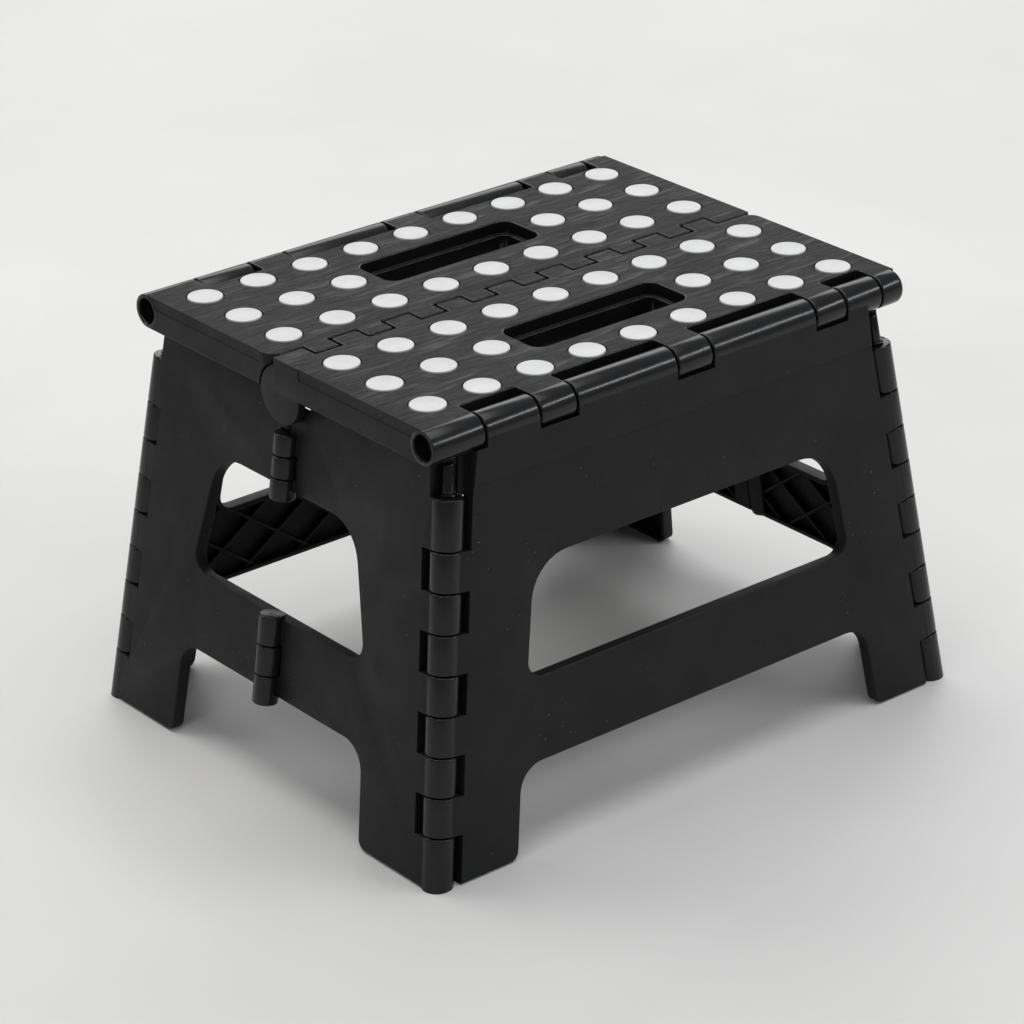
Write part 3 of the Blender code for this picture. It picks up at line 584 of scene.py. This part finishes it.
SIDE, DECK, BARREL, DOT, STEEL, BLACK_AND_PAINTED_SHADE = range(6)
LOOKS = [
    plastic("side_plastic", (0.0068, 0.0070, 0.0073), (0.0098, 0.0100, 0.0104),
            (0.44, 0.56), 0.45, speckle=0.6, shine=0.21),
    plastic("deck_plastic", (0.012, 0.012, 0.0123), (0.019, 0.019, 0.0195),
            (0.40, 0.52), 0.26, speckle=0.4, grain=1.0, shine=0.13),
    plastic("barrel_plastic", (0.0070, 0.0072, 0.0075), (0.0105, 0.0107, 0.0110),
            (0.15, 0.25), 0.12, speckle=0.3, shine=0.31),
    rubber_look("dot_rubber"),
    steel_look("pin_steel"),
    # black for the corner pins, and painted shade on the deck's inner walls and rounded edges and
    # in the open bore
    plastic("pin_black", (0.004, 0.004, 0.004), (0.007, 0.007, 0.007), (0.14, 0.22), 0.03,
            shine=0.30),
]


# Deck halves. side is -1 for the front half and +1 for the rear half.

def tab_ranges(side):
    rear = [(FIRST_REAR_TAB + PITCH * n, FIRST_REAR_TAB + PITCH * n + REAR_TAB)
            for n in range(SEAM_TABS)]
    rear[-1] = (rear[-1][0], HALF_LENGTH + SEAM_GAP)
    if side > 0:
        return rear
    starts = [-HALF_LENGTH - SEAM_GAP] + [end for _, end in rear[:-1]]
    return [(start, tab[0]) for start, tab in zip(starts, rear)]


def seam_knuckles(side):
    tabs = tab_ranges(side)[1:-1] if side < 0 else tab_ranges(side)[:-1]
    return tabs[::2]


def deck_outline(side):
    """A deck half seen from above, with its seam tabs and the notches of its edge hinge."""
    length = HALF_LENGTH
    root = side * (SEAM_REACH + SEAM_GAP)
    tip = side * (SEAM_GAP - SEAM_REACH)
    edge = side * EDGE_Y
    bottom = side * (EDGE_Y - EDGE_R - KNUCKLE_NOTCH)
    seam = []
    tabs = tab_ranges(side)
    for start, end in tabs:
        start, end = start + SEAM_GAP, end - SEAM_GAP
        if start > -length + SEAM_GAP:
            seam += [(start, root, 0.0007), (start, tip, 0.0011)]
        else:
            seam += [(-length, tip, 0.0013)]
        if end < length - SEAM_GAP:
            seam += [(end, tip, 0.0011), (end, root, 0.0007)]
        else:
            seam += [(length, tip, 0.0013)]
    if side > 0:
        seam = [(-length, root, 0.0065)] + seam
    else:
        seam = seam + [(length, root, 0.0065)]
    outer = [(length, edge, 0.0)]
    for start, end in reversed(PANEL_KNUCKLES):
        high, low = end + EDGE_GAP / 2, start - EDGE_GAP / 2
        outer += [(high, edge, 0.0), (high, bottom, 0.0016), (low, bottom, 0.0016),
                  (low, edge, 0.0)]
    outer.append((-length, edge, 0.0))
    points = seam + outer
    return points if side > 0 else points[::-1]


def slot_outline(side, step):
    middle = side * (SLOT_Y[0] + SLOT_Y[1]) / 2
    x, y = SLOT_HALF - step, (SLOT_Y[1] - SLOT_Y[0]) / 2 - step
    radius = SLOT_R - step
    return [(-x, middle - y, radius), (x, middle - y, radius), (x, middle + y, radius),
            (-x, middle + y, radius)]


def deck_cells(side):
    """Hollows under the deck's skin, between its walls and ribs."""
    wall_x = HALF_LENGTH - WALL
    near, far = SEAM_REACH + 0.006, EDGE_Y - EDGE_R - KNUCKLE_NOTCH - WALL
    slot_x = SLOT_HALF + WALL
    slot_near, slot_far = SLOT_Y[0] - WALL, SLOT_Y[1] + WALL
    middle_x = (wall_x + slot_x) / 2
    spans = [(-wall_x, -middle_x - WALL / 2, near, far),
             (-middle_x + WALL / 2, -slot_x - WALL, near, far),
             (slot_x + WALL, middle_x - WALL / 2, near, far),
             (middle_x + WALL / 2, wall_x, near, far)]
    for start, end in ((-slot_x, -WALL / 2), (WALL / 2, slot_x)):
        spans += [(start, end, near, slot_near), (start, end, slot_far, far)]
    bottom, top = -DECK_DEPTH - OVER, -DECK_SKIN
    cutters = []
    for x0, x1, y0, y1 in spans:
        low, high = sorted((side * y0, side * y1))
        radius = 0.0012
        outline = [(x0, low, radius), (x1, low, radius), (x1, high, radius), (x0, high, radius)]
        cutters.append(plate("cell", outline, [], DECK_TOP + bottom, DECK_TOP + top, Matrix()))
    return cutters


def dot_columns(row):
    columns = [(n - (DOT_COLUMNS - 1) / 2) * PITCH for n in range(DOT_COLUMNS)]
    if row != 1:
        return [columns]
    return [[x for x in columns if x < -SLOT_HALF], [x for x in columns if x > SLOT_HALF]]


def deck_webs(side):
    """Thin webs that close the deck's edge behind the long panel's knuckles."""
    low, high = sorted((side * (EDGE_Y - EDGE_R - KNUCKLE_NOTCH - 0.001),
                        side * (EDGE_Y - EDGE_R - 0.0006)))
    bottom, top = DECK_TOP - DECK_DEPTH + 0.0006, EDGE_Z - 0.0067
    return [block("web", (start - EDGE_GAP, low, bottom), (end + EDGE_GAP, high, top), slot=DECK)
            for start, end in PANEL_KNUCKLES]


def open_barrel(start, end):
    """The first knuckle, with the worn lip of its open bore, whose walls and bottom are painted
    darker as painted shade.
    """
    profile = [(0.0, BORE_DEPTH), (0.0026, BORE_DEPTH), (0.0026, 0.0075), (0.0060, 0.0075),
               (0.0061, 0.0012), (0.0063, 0.0005), (0.0066, 0.0), (0.0069, -0.0002),
               (0.0072, -0.0001), (0.0075, 0.0)]
    rim = 0.0004
    for n in range(5):
        turn = pi / 2 * n / 4
        profile.append((EDGE_R - rim + rim * sin(turn), rim - rim * cos(turn)))
    profile += rim_profile(EDGE_R, (end - start).length, RIM)[RIM_STEPS + 2:]
    made = turned("knuckle", profile, along(start - Vector((BULGE, 0, 0)), end), BARREL)
    # painted shade: the bore's walls and bottom take the darker black look
    for face in made.data.polygons:
        if hypot(face.center.y - start.y, face.center.z - start.z) < 0.0062:
            face.material_index = BLACK_AND_PAINTED_SHADE
    return made


def deck_barrels(side):
    """The deck's edge knuckles. The first has an open bore and the last a rounder end."""
    made = []
    last = len(DECK_KNUCKLES) - 1
    for n, (start, end) in enumerate(DECK_KNUCKLES):
        low = start if n == 0 else start + EDGE_GAP / 2
        high = end if n == last else end - EDGE_GAP / 2
        low, high = Vector((low, side * EDGE_Y, EDGE_Z)), Vector((high, side * EDGE_Y, EDGE_Z))
        if n == 0:
            made.append(open_barrel(low, high))
        else:
            made.append(rod("knuckle", low, high, EDGE_R, RIM, 0.0030 if n == last else RIM,
                            slot=BARREL))
    return made


def make_deck(name, side):
    length = HALF_LENGTH
    flat = plate(name, deck_outline(side), [slot_outline(side, 0.0)],
                 DECK_TOP - DECK_DEPTH, DECK_TOP, Matrix(), 0.0006, DECK)
    cut(flat, deck_cells(side))
    collar = plate("collar", slot_outline(side, -0.0004), [slot_outline(side, LEDGE)],
                   DECK_TOP - DECK_DEPTH + BULGE, DECK_TOP - LEDGE_DEPTH, Matrix(), 0.0004, DECK)
    ear_inner = length - EAR_T
    ear = rod("ear", (side * (length - BULGE), 0, CENTRE_Z), (side * ear_inner, 0, CENTRE_Z),
              EAR_R, 0.0005, slot=DECK, sides=ROUND_SIDES)
    joined(flat, [ear])
    cutters = [rod("ear room", (-side * (length + OVER), 0, CENTRE_Z),
                   (-side * (ear_inner - SEAM_GAP), 0, CENTRE_Z), EAR_R + EAR_GAP,
                   sides=ROUND_SIDES)]
    for start, end in seam_knuckles(-side):
        cutters.append(rod("seam room", (start, 0, CENTRE_Z), (end, 0, CENTRE_Z),
                           SEAM_R + EAR_GAP))
    # seats of the dots
    for row, y in enumerate(DOT_ROWS):
        for columns in dot_columns(row):
            cutters += [rod("seat", (x, side * y, DECK_TOP - SEAT_DEPTH),
                            (x, side * y, DECK_TOP + OVER), DOT_R + SEAT_ROOM) for x in columns]
    # step line round the end skirts
    low, high = sorted((side * (EAR_R + GAP), side * (EDGE_Y + EDGE_R)))
    for end in (-1, 1):
        x0, x1 = sorted((end * (length - STEP_IN), end * (length + OVER)))
        cutters.append(block("step", (x0, low, DECK_TOP - STEP_DEPTH),
                             (x1, high, DECK_TOP + OVER)))
    cutters.append(rod("end hole", (-length - OVER, side * EDGE_Y, EDGE_Z),
                       (-length + BORE_DEPTH, side * EDGE_Y, EDGE_Z), BORE_R))
    cut(flat, cutters)
    extras = [collar] + deck_webs(side) + deck_barrels(side)
    for start, end in seam_knuckles(side):
        extras.append(rod("seam knuckle", (start + SEAM_GAP + 0.0003, 0, CENTRE_Z),
                          (end - SEAM_GAP - 0.0003, 0, CENTRE_Z), SEAM_R, 0.0005, slot=DECK))
    merged(flat, extras)
    # only the tread is grained: the skirts are like the sides, and the other walls are smooth;
    # these walls and the tread's rounded edges take the darker black look as painted shade, which
    # draws dark outlines round the seam, the slots and the dots' seats
    for face in flat.data.polygons:
        if face.material_index == DECK and face.normal.z < 0.98:
            skirt = abs(face.center.x) > ear_inner - 0.001 or face.normal.z < -0.8
            face.material_index = SIDE if skirt else BLACK_AND_PAINTED_SHADE
    return flat


def make_dots(name, side, row, columns):
    """Soft discs with a slightly raised rim, joined by a runner under the deck's skin."""
    y = side * DOT_ROWS[row]
    discs = []
    profile = [(0.0, 0.00022), (DOT_R - 0.0009, 0.00022), (DOT_R - 0.0006, 0.00032),
               (DOT_R - 0.0003, 0.00040), (DOT_R - 0.0001, 0.00034), (DOT_R, 0.00018),
               (DOT_R, -0.00085), (0.0, -0.00085)]
    for x in columns:
        discs.append(turned("disc", profile, Matrix.Translation((x, y, DECK_TOP)), DOT))
        discs.append(rod("stem", (x, y, DECK_TOP - 0.0046), (x, y, DECK_TOP - 0.0002), STEM_R,
                         slot=DOT, sides=16))
    bottom, top = (DECK_TOP - depth for depth in RUNNER)
    runner = block(name, (columns[0] - RUNNER_HALF, y - RUNNER_HALF, bottom),
                   (columns[-1] + RUNNER_HALF, y + RUNNER_HALF, top), slot=DOT)
    return merged(runner, discs)


# Panels

def lattice(half_width, low, high, place):
    """Crossed slanting ribs behind a panel's skin."""
    bars = []
    reach = (high - low) / RIB_SLOPE
    count = int((half_width * 2 + reach) / RIB_PITCH) + 1
    for lean in (-1, 1):
        for n in range(count + 1):
            x = -half_width - reach / 2 + n * RIB_PITCH
            start = Vector((x - lean * reach / 2, low))
            end = Vector((x + lean * reach / 2, high))
            line = (end - start).normalized()
            across = Vector((-line.y, line.x)) * RIB_HALF
            corners = [start - across, end - across, end + across, start + across]
            bars.append(plate("rib", [(*corner, 0.0) for corner in corners], [],
                              INNER + RIB_SETBACK, OUTER + 0.0005, place))
    return bars


def on_wall(corners, lean):
    """Corners given by their depth, placed by their height up a leaning wall."""
    return [(x, up_wall(DECK_TOP - depth, lean), radius) for x, depth, radius in corners]


def mirrored(corner):
    return (-corner[0], *corner[1:])


def long_outline(lean):
    floor = up_wall(0.0, lean)
    half_floor = corner_point(1, 1, 0.0).x
    arch, foot = LONG_ARCH
    opening = on_wall([mirrored(foot), mirrored(arch), arch, foot], lean)
    return [(CORNER_X, 0.0, 0.0), (-CORNER_X, 0.0, 0.0), (-half_floor, floor, 0.0), *opening,
            (half_floor, floor, 0.0)]


def long_window(lean):
    top, bottom = LONG_WINDOW
    return on_wall([mirrored(top), mirrored(bottom), bottom, top], lean)


def edge_frame(side):
    """Axes on a deck edge's hinge line: X toward the deck, Z along the stool."""
    axis = Vector((0, side * EDGE_Y, EDGE_Z))
    return hinge_frame(axis, axis + Vector((1, 0, 0)), Vector((0, -side, 0)))


def edge_up(frame):
    return 1 if frame.col[1].z > 0 else -1


def make_apron(side):
    """The thick band that runs from a long panel's barrels, tangent to them, to its step line."""
    frame = edge_frame(side)
    up = edge_up(frame)
    slope = hypot(1.0, LEAN_Y)
    foot = EDGE_Z - DECK_TOP + BAND_FOOT
    face = CORNER_Y - EDGE_Y + (OUTER + BAND_PROUD) * slope
    outline = [(-EDGE_R + 0.0001, 0.0, 0.0), (-face - LEAN_Y * foot, -foot, 0.0004),
               (-face - LEAN_Y * foot + 0.0020, -foot, 0.0), (-0.0035, 0.0, 0.0)]
    reach = CORNER_X + CORNER_R
    return plate("apron", [(x, up * y, r) for x, y, r in outline][::up], [], -reach, reach, frame,
                 slot=SIDE)


def make_long_panel(name, side):
    yaw = 0.0 if side < 0 else pi
    place = wall_frame(yaw, CORNER_Y, LEAN_Y)
    outline, window = long_outline(LEAN_Y), long_window(LEAN_Y)
    panel = plate(name, outline, [window], INNER, OUTER, place, EDGE, SIDE)
    top, floor = up_wall(DECK_TOP - LONG_TOP, LEAN_Y), up_wall(0.0, LEAN_Y)
    clear = CORNER_R + POCKET_ROOM
    pocket_outline = list(outline)
    pocket_outline[0] = (CORNER_X - clear, top, 0.002)
    pocket_outline[1] = (-CORNER_X + clear, top, 0.002)
    inner_floor = corner_point(1, 1, 0.0).x - clear
    pocket_outline[2] = (-inner_floor, floor, 0.002)
    pocket_outline[7] = (inner_floor, floor, 0.002)
    pocket = plate("pocket", inset(pocket_outline, WALL), [inset(window, -WALL)],
                   INNER - OVER, OUTER - SKIN, place)
    cut(pocket, lattice(0.160, floor, top, place), crossing=True)
    cut(panel, [pocket])
    joined(panel, [make_apron(side)])
    reach = HALF_LENGTH + 2 * CORNER_R
    gaps = [(start - EDGE_GAP / 2, end + EDGE_GAP / 2) for start, end in DECK_KNUCKLES]
    gaps[0] = (-reach, gaps[0][1])
    gaps[-1] = (gaps[-1][0], reach)
    edge = edge_frame(side)
    up = edge_up(edge)
    lip, inner = EDGE_Z - DECK_TOP + LIP_TOP, EDGE_Z - DECK_TOP + LONG_TOP
    floor_line = [(-NOTCH_REACH, -lip), (-EDGE_R, -lip), (-0.0004, -inner), (NOTCH_REACH, -inner),
                  (NOTCH_REACH, NOTCH_REACH), (-NOTCH_REACH, NOTCH_REACH)]
    outline = [(x, up * y, 0.0) for x, y in floor_line][::up]
    cutters = [plate("edge notch", outline, [], start, end, edge) for start, end in gaps]
    extras = []
    axis = Vector((0, side * EDGE_Y, EDGE_Z))
    for start, end in PANEL_KNUCKLES:
        extras.append(rod("knuckle", axis + Vector((start + EDGE_GAP / 2, 0, 0)),
                          axis + Vector((end - EDGE_GAP / 2, 0, 0)), EDGE_R, RIM, slot=BARREL))
    for side_x in (-1, 1):
        low, high = corner_point(side_x, side, 0.0), corner_point(side_x, side, DECK_TOP)
        full = (high - low).length
        ranges = [(start - GAP / 2, end + GAP / 2) for start, end in corner_knuckles(0)]
        ranges[0] = (ranges[0][0], ranges[0][1] + HEAD_ROOM)
        ranges[-1] = (-NOTCH_REACH, ranges[-1][1])
        inward = Vector((-side_x, 0, 0))
        cutters += [corner_notch(low, high, inward, start, end) for start, end in ranges]
        # beside the pin's head a thin web closes the corner
        corner = hinge_frame(low, high, inward)
        outer = NOTCH_REACH if corner.col[1].y * side > 0 else -NOTCH_REACH
        face = PANEL_WEB * outer / NOTCH_REACH
        start = ranges[0][1] - OVER
        far = CORNER_R + CORNER_CLEAR + GAP / 2
        cutters.append(block("recess", (-NOTCH_REACH, -NOTCH_REACH, start),
                             (TOP_NOTCH, NOTCH_REACH, full), corner))
        cutters.append(block("recess", (0, min(face, outer), start),
                             (far, max(face, outer), full), corner))
        line = (high - low).normalized()
        for start, end in corner_knuckles(1):
            extras.append(rod("knuckle", low + line * (start + GAP / 2 + BULGE),
                              low + line * (end - GAP / 2 - BULGE), CORNER_R, RIM, slot=BARREL))
    cut(panel, cutters)
    return merged(panel, extras)


def end_outline(lean, half, middle, notch_y, clear=0.0):
    """One half of an end panel, a C open to the middle. half is -1 or +1."""
    corner_y = corner_point(1, 1, 0.0).y - clear
    top_y = corner_point(1, 1, DECK_TOP - END_TOP).y - clear
    notch_depth, notch_radius = END_NOTCH[1:]
    (_, window_top, _), (_, window_bottom, _) = END_WINDOW
    corners = [(middle, notch_depth, 0.0), (middle, window_top, 0.0), *END_WINDOW,
               (middle, window_bottom, 0.0), (middle, END_ARCH[0][1], 0.0), *END_ARCH,
               (corner_y, DECK_TOP, 0.0), (top_y, END_TOP, 0.0), (notch_y, END_TOP, 0.0),
               (notch_y, notch_depth, notch_radius)]
    points = on_wall([(half * y, depth, radius) for y, depth, radius in corners], lean)
    return points if half > 0 else points[::-1]


def fold_ranges(first):
    pairs = []
    for top, step in FOLD_STACKS:
        for index in range(first, FOLD_KNUCKLES, 2):
            high = top - index * step
            pairs.append((high - step, high))
    return pairs


def make_end_half(name, side_x, side_y):
    yaw = -pi / 2 if side_x < 0 else pi / 2
    place = wall_frame(yaw, CORNER_X, LEAN_X)
    half = side_x * side_y
    notch_y = END_NOTCH[0]
    panel = plate(name, end_outline(LEAN_X, half, GAP / 2, notch_y), [], INNER, OUTER, place,
                  EDGE * 0.8, SIDE)
    clear = CORNER_R + POCKET_ROOM
    hollow = end_outline(LEAN_X, half, FOLD_R + POCKET_ROOM, notch_y + WALL, clear)
    pocket = plate("pocket", inset(hollow, WALL), [], INNER - OVER, OUTER - SKIN, place)
    low, high = up_wall(0.0, LEAN_X), up_wall(DECK_TOP - END_TOP, LEAN_X)
    cut(pocket, lattice(0.130, low, high, place), crossing=True)
    cut(panel, [pocket])
    low, high = corner_point(side_x, side_y, 0.0), corner_point(side_x, side_y, DECK_TOP)
    scale = (high - low).length / DECK_TOP
    cutters = [below_floor()]
    inward = Vector((0, -side_y, 0))
    for start, end in corner_knuckles(1):
        cutters.append(corner_notch(low, high, inward, start - GAP / 2, end + GAP / 2))
    cutters.append(block("top notch", (-NOTCH_REACH, -NOTCH_REACH, CORNER_TOP * scale),
                         (TOP_NOTCH, NOTCH_REACH, DECK_TOP * scale),
                         hinge_frame(low, high, inward)))
    own_first = 0 if side_y < 0 else 1
    for bottom, top in fold_ranges(1 - own_first):
        cutters.append(rod("fold room", fold_point(side_x, bottom - GAP / 2),
                           fold_point(side_x, top + GAP / 2), FOLD_R + FOLD_ROOM))
    extras = []
    line = (high - low).normalized()
    knuckles = corner_knuckles(0)
    for n, (start, end) in enumerate(knuckles):
        foot = n == len(knuckles) - 1
        bottom = low + line * (-CORNER_R if foot else start + GAP / 2 + BULGE)
        top = low + line * (end - GAP / 2 - BULGE) if n else low + line * (end - BULGE)
        made = rod("knuckle", bottom, top, CORNER_R, RIM, slot=BARREL)
        if foot:
            cut(made, [below_floor()])
        extras.append(made)
    cut(panel, cutters)
    for bottom, top in fold_ranges(own_first):
        extras.append(rod("fold knuckle", fold_point(side_x, bottom + GAP / 2),
                          fold_point(side_x, top - GAP / 2), FOLD_R, RIM * 0.8, slot=BARREL))
    return merged(panel, extras)


# Pins

def make_corner_pin(name, side_x, side_y):
    """A round pin with a slim straight head and a small flange under it."""
    head = corner_point(side_x, side_y, DECK_TOP - PIN_TOP)
    tail = corner_point(side_x, side_y, PIN_FOOT)
    length = (tail - head).length
    return turned(name, PIN_HEAD + [(PIN_R, length), (0.0, length)], along(head, tail), BLACK_AND_PAINTED_SHADE)


# The stool

SIDE_NAMES = {-1: "front", 1: "rear"}
END_NAMES = {-1: "left", 1: "right"}

for side in (-1, 1):
    label = SIDE_NAMES[side]
    deck = make_deck(label + "_deck_shell", side)
    finish(deck, label + "_deck", "deck_plastic", label + "_deck")
    for row in range(len(DOT_ROWS)):
        runs = dot_columns(row)
        for run, columns in enumerate(runs):
            part = "" if len(runs) == 1 else ("_left", "_right")[run]
            node_name = label + "_dots_" + ("inner", "middle", "outer")[row] + part
            dots = make_dots(node_name + "_soft", side, row, columns)
            finish(dots, label + "_deck", "dot_rubber", node_name)
    panel = make_long_panel(label + "_panel_shell", side)
    finish(panel, label + "_panel", "side_plastic", label + "_panel")
    pin_half = HALF_LENGTH - EDGE_PIN_INSET
    pin = rod(label + "_edge_wire", (-pin_half, side * EDGE_Y, EDGE_Z),
              (pin_half, side * EDGE_Y, EDGE_Z), EDGE_PIN_R, 0.0004, slot=STEEL)
    finish(pin, label + "_panel", "pin_steel", label + "_edge_pin")
    for side_x in (-1, 1):
        node_name = label + "_" + END_NAMES[side_x] + "_corner_pin"
        pin = make_corner_pin(node_name + "_wire", side_x, side)
        finish(pin, label + "_panel", "pin_black", node_name)

for side_x in (-1, 1):
    for side_y in (-1, 1):
        label = END_NAMES[side_x] + "_" + SIDE_NAMES[side_y] + "_end"
        half = make_end_half(label + "_shell", side_x, side_y)
        finish(half, label, "side_plastic", label)
    for word, (top, step) in zip(("upper", "lower"), FOLD_STACKS):
        node_name = END_NAMES[side_x] + "_" + word + "_fold_pin"
        pin = rod(node_name + "_wire", fold_point(side_x, top - FOLD_KNUCKLES * step + 0.0003),
                  fold_point(side_x, top - 0.0003), PIN_R, 0.0003, slot=STEEL)
        finish(pin, END_NAMES[side_x] + "_front_end", "pin_steel", node_name)

pin_half = HALF_LENGTH - CENTRE_PIN_INSET
pin = rod("deck_centre_wire", (-pin_half, 0, CENTRE_Z), (pin_half, 0, CENTRE_Z), PIN_R, 0.0003,
          slot=STEEL)
finish(pin, "rear_deck", "pin_steel", "deck_centre_pin")

# Each mesh keeps only the looks that it uses
for item in list(scene.objects):
    if item.type == "MESH" and not item.get("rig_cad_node"):
        used = sorted({face.material_index for face in item.data.polygons})
        remap = {old: new for new, old in enumerate(used)}
        kept = [item.data.materials[index] for index in used]
        indices = [remap[face.material_index] for face in item.data.polygons]
        item.data.materials.clear()
        for look in kept:
            item.data.materials.append(look)
        item.data.polygons.foreach_set("material_index", indices)

# Floor, light and camera
work = bmesh.new()
bmesh.ops.create_grid(work, x_segments=1, y_segments=1, size=12.0)
ground_mesh = bpy.data.meshes.new("ground")
work.to_mesh(ground_mesh)
work.free()
ground = bpy.data.objects.new("ground", ground_mesh)
ground_mesh.materials.append(floor_look("pale_floor"))
scene.collection.objects.link(ground)

world = bpy.data.worlds.new("room")
scene.world = world
world.use_nodes = True
background = world.node_tree.nodes["Background"]
background.inputs["Color"].default_value = (0.93, 0.95, 1.0, 1.0)
background.inputs["Strength"].default_value = 0.30


def area_light(name, place, target, size, power, colour=(1.0, 1.0, 1.0)):
    data = bpy.data.lights.new(name, "AREA")
    data.shape = "RECTANGLE"
    data.size, data.size_y = size
    data.energy = power
    data.color = colour
    lamp = bpy.data.objects.new(name, data)
    lamp.location = place
    lamp.rotation_euler = (Vector(target) - Vector(place)).to_track_quat("-Z", "Y").to_euler()
    scene.collection.objects.link(lamp)


area_light("window", (-0.6, 1.9, 2.3), (0, 0, 0.1), (2.0, 1.4), 28.0, (1.0, 0.985, 0.96))
area_light("backdrop", (1.5, 1.8, 1.3), (0, 0, 0.2), (2.6, 1.2), 20.0)
area_light("ceiling", (0.2, 0.0, 2.6), (0, 0, 0.1), (2.4, 2.0), 44.0)
area_light("right strip", (1.32, -1.60, 1.25), (0, 0, 0.2), (1.6, 0.16), 14.0, (0.97, 0.985, 1.0))
area_light("left strip", (-1.80, -0.60, 1.35), (0, 0, 0.2), (0.9, 0.25), 5.0)

camera_data = bpy.data.cameras.new("camera")
camera_data.sensor_width = 36.0
camera_data.lens = 136.9
camera_data.clip_start = 0.05
camera = bpy.data.objects.new("camera", camera_data)
VIEW_RIGHT = Vector((0.77202, -0.63538, -0.01648))
VIEW_DOWN = Vector((-0.28264, -0.31997, -0.90429))
VIEW_AHEAD = Vector((0.56930, 0.70278, -0.42661))
turn = Matrix((VIEW_RIGHT, -VIEW_DOWN, -VIEW_AHEAD)).transposed().to_4x4()
camera.matrix_world = Matrix.Translation((-1.09274, -1.33909, 0.91033)) @ turn
scene.collection.objects.link(camera)
scene.camera = camera
scene.view_settings.view_transform = "Standard"
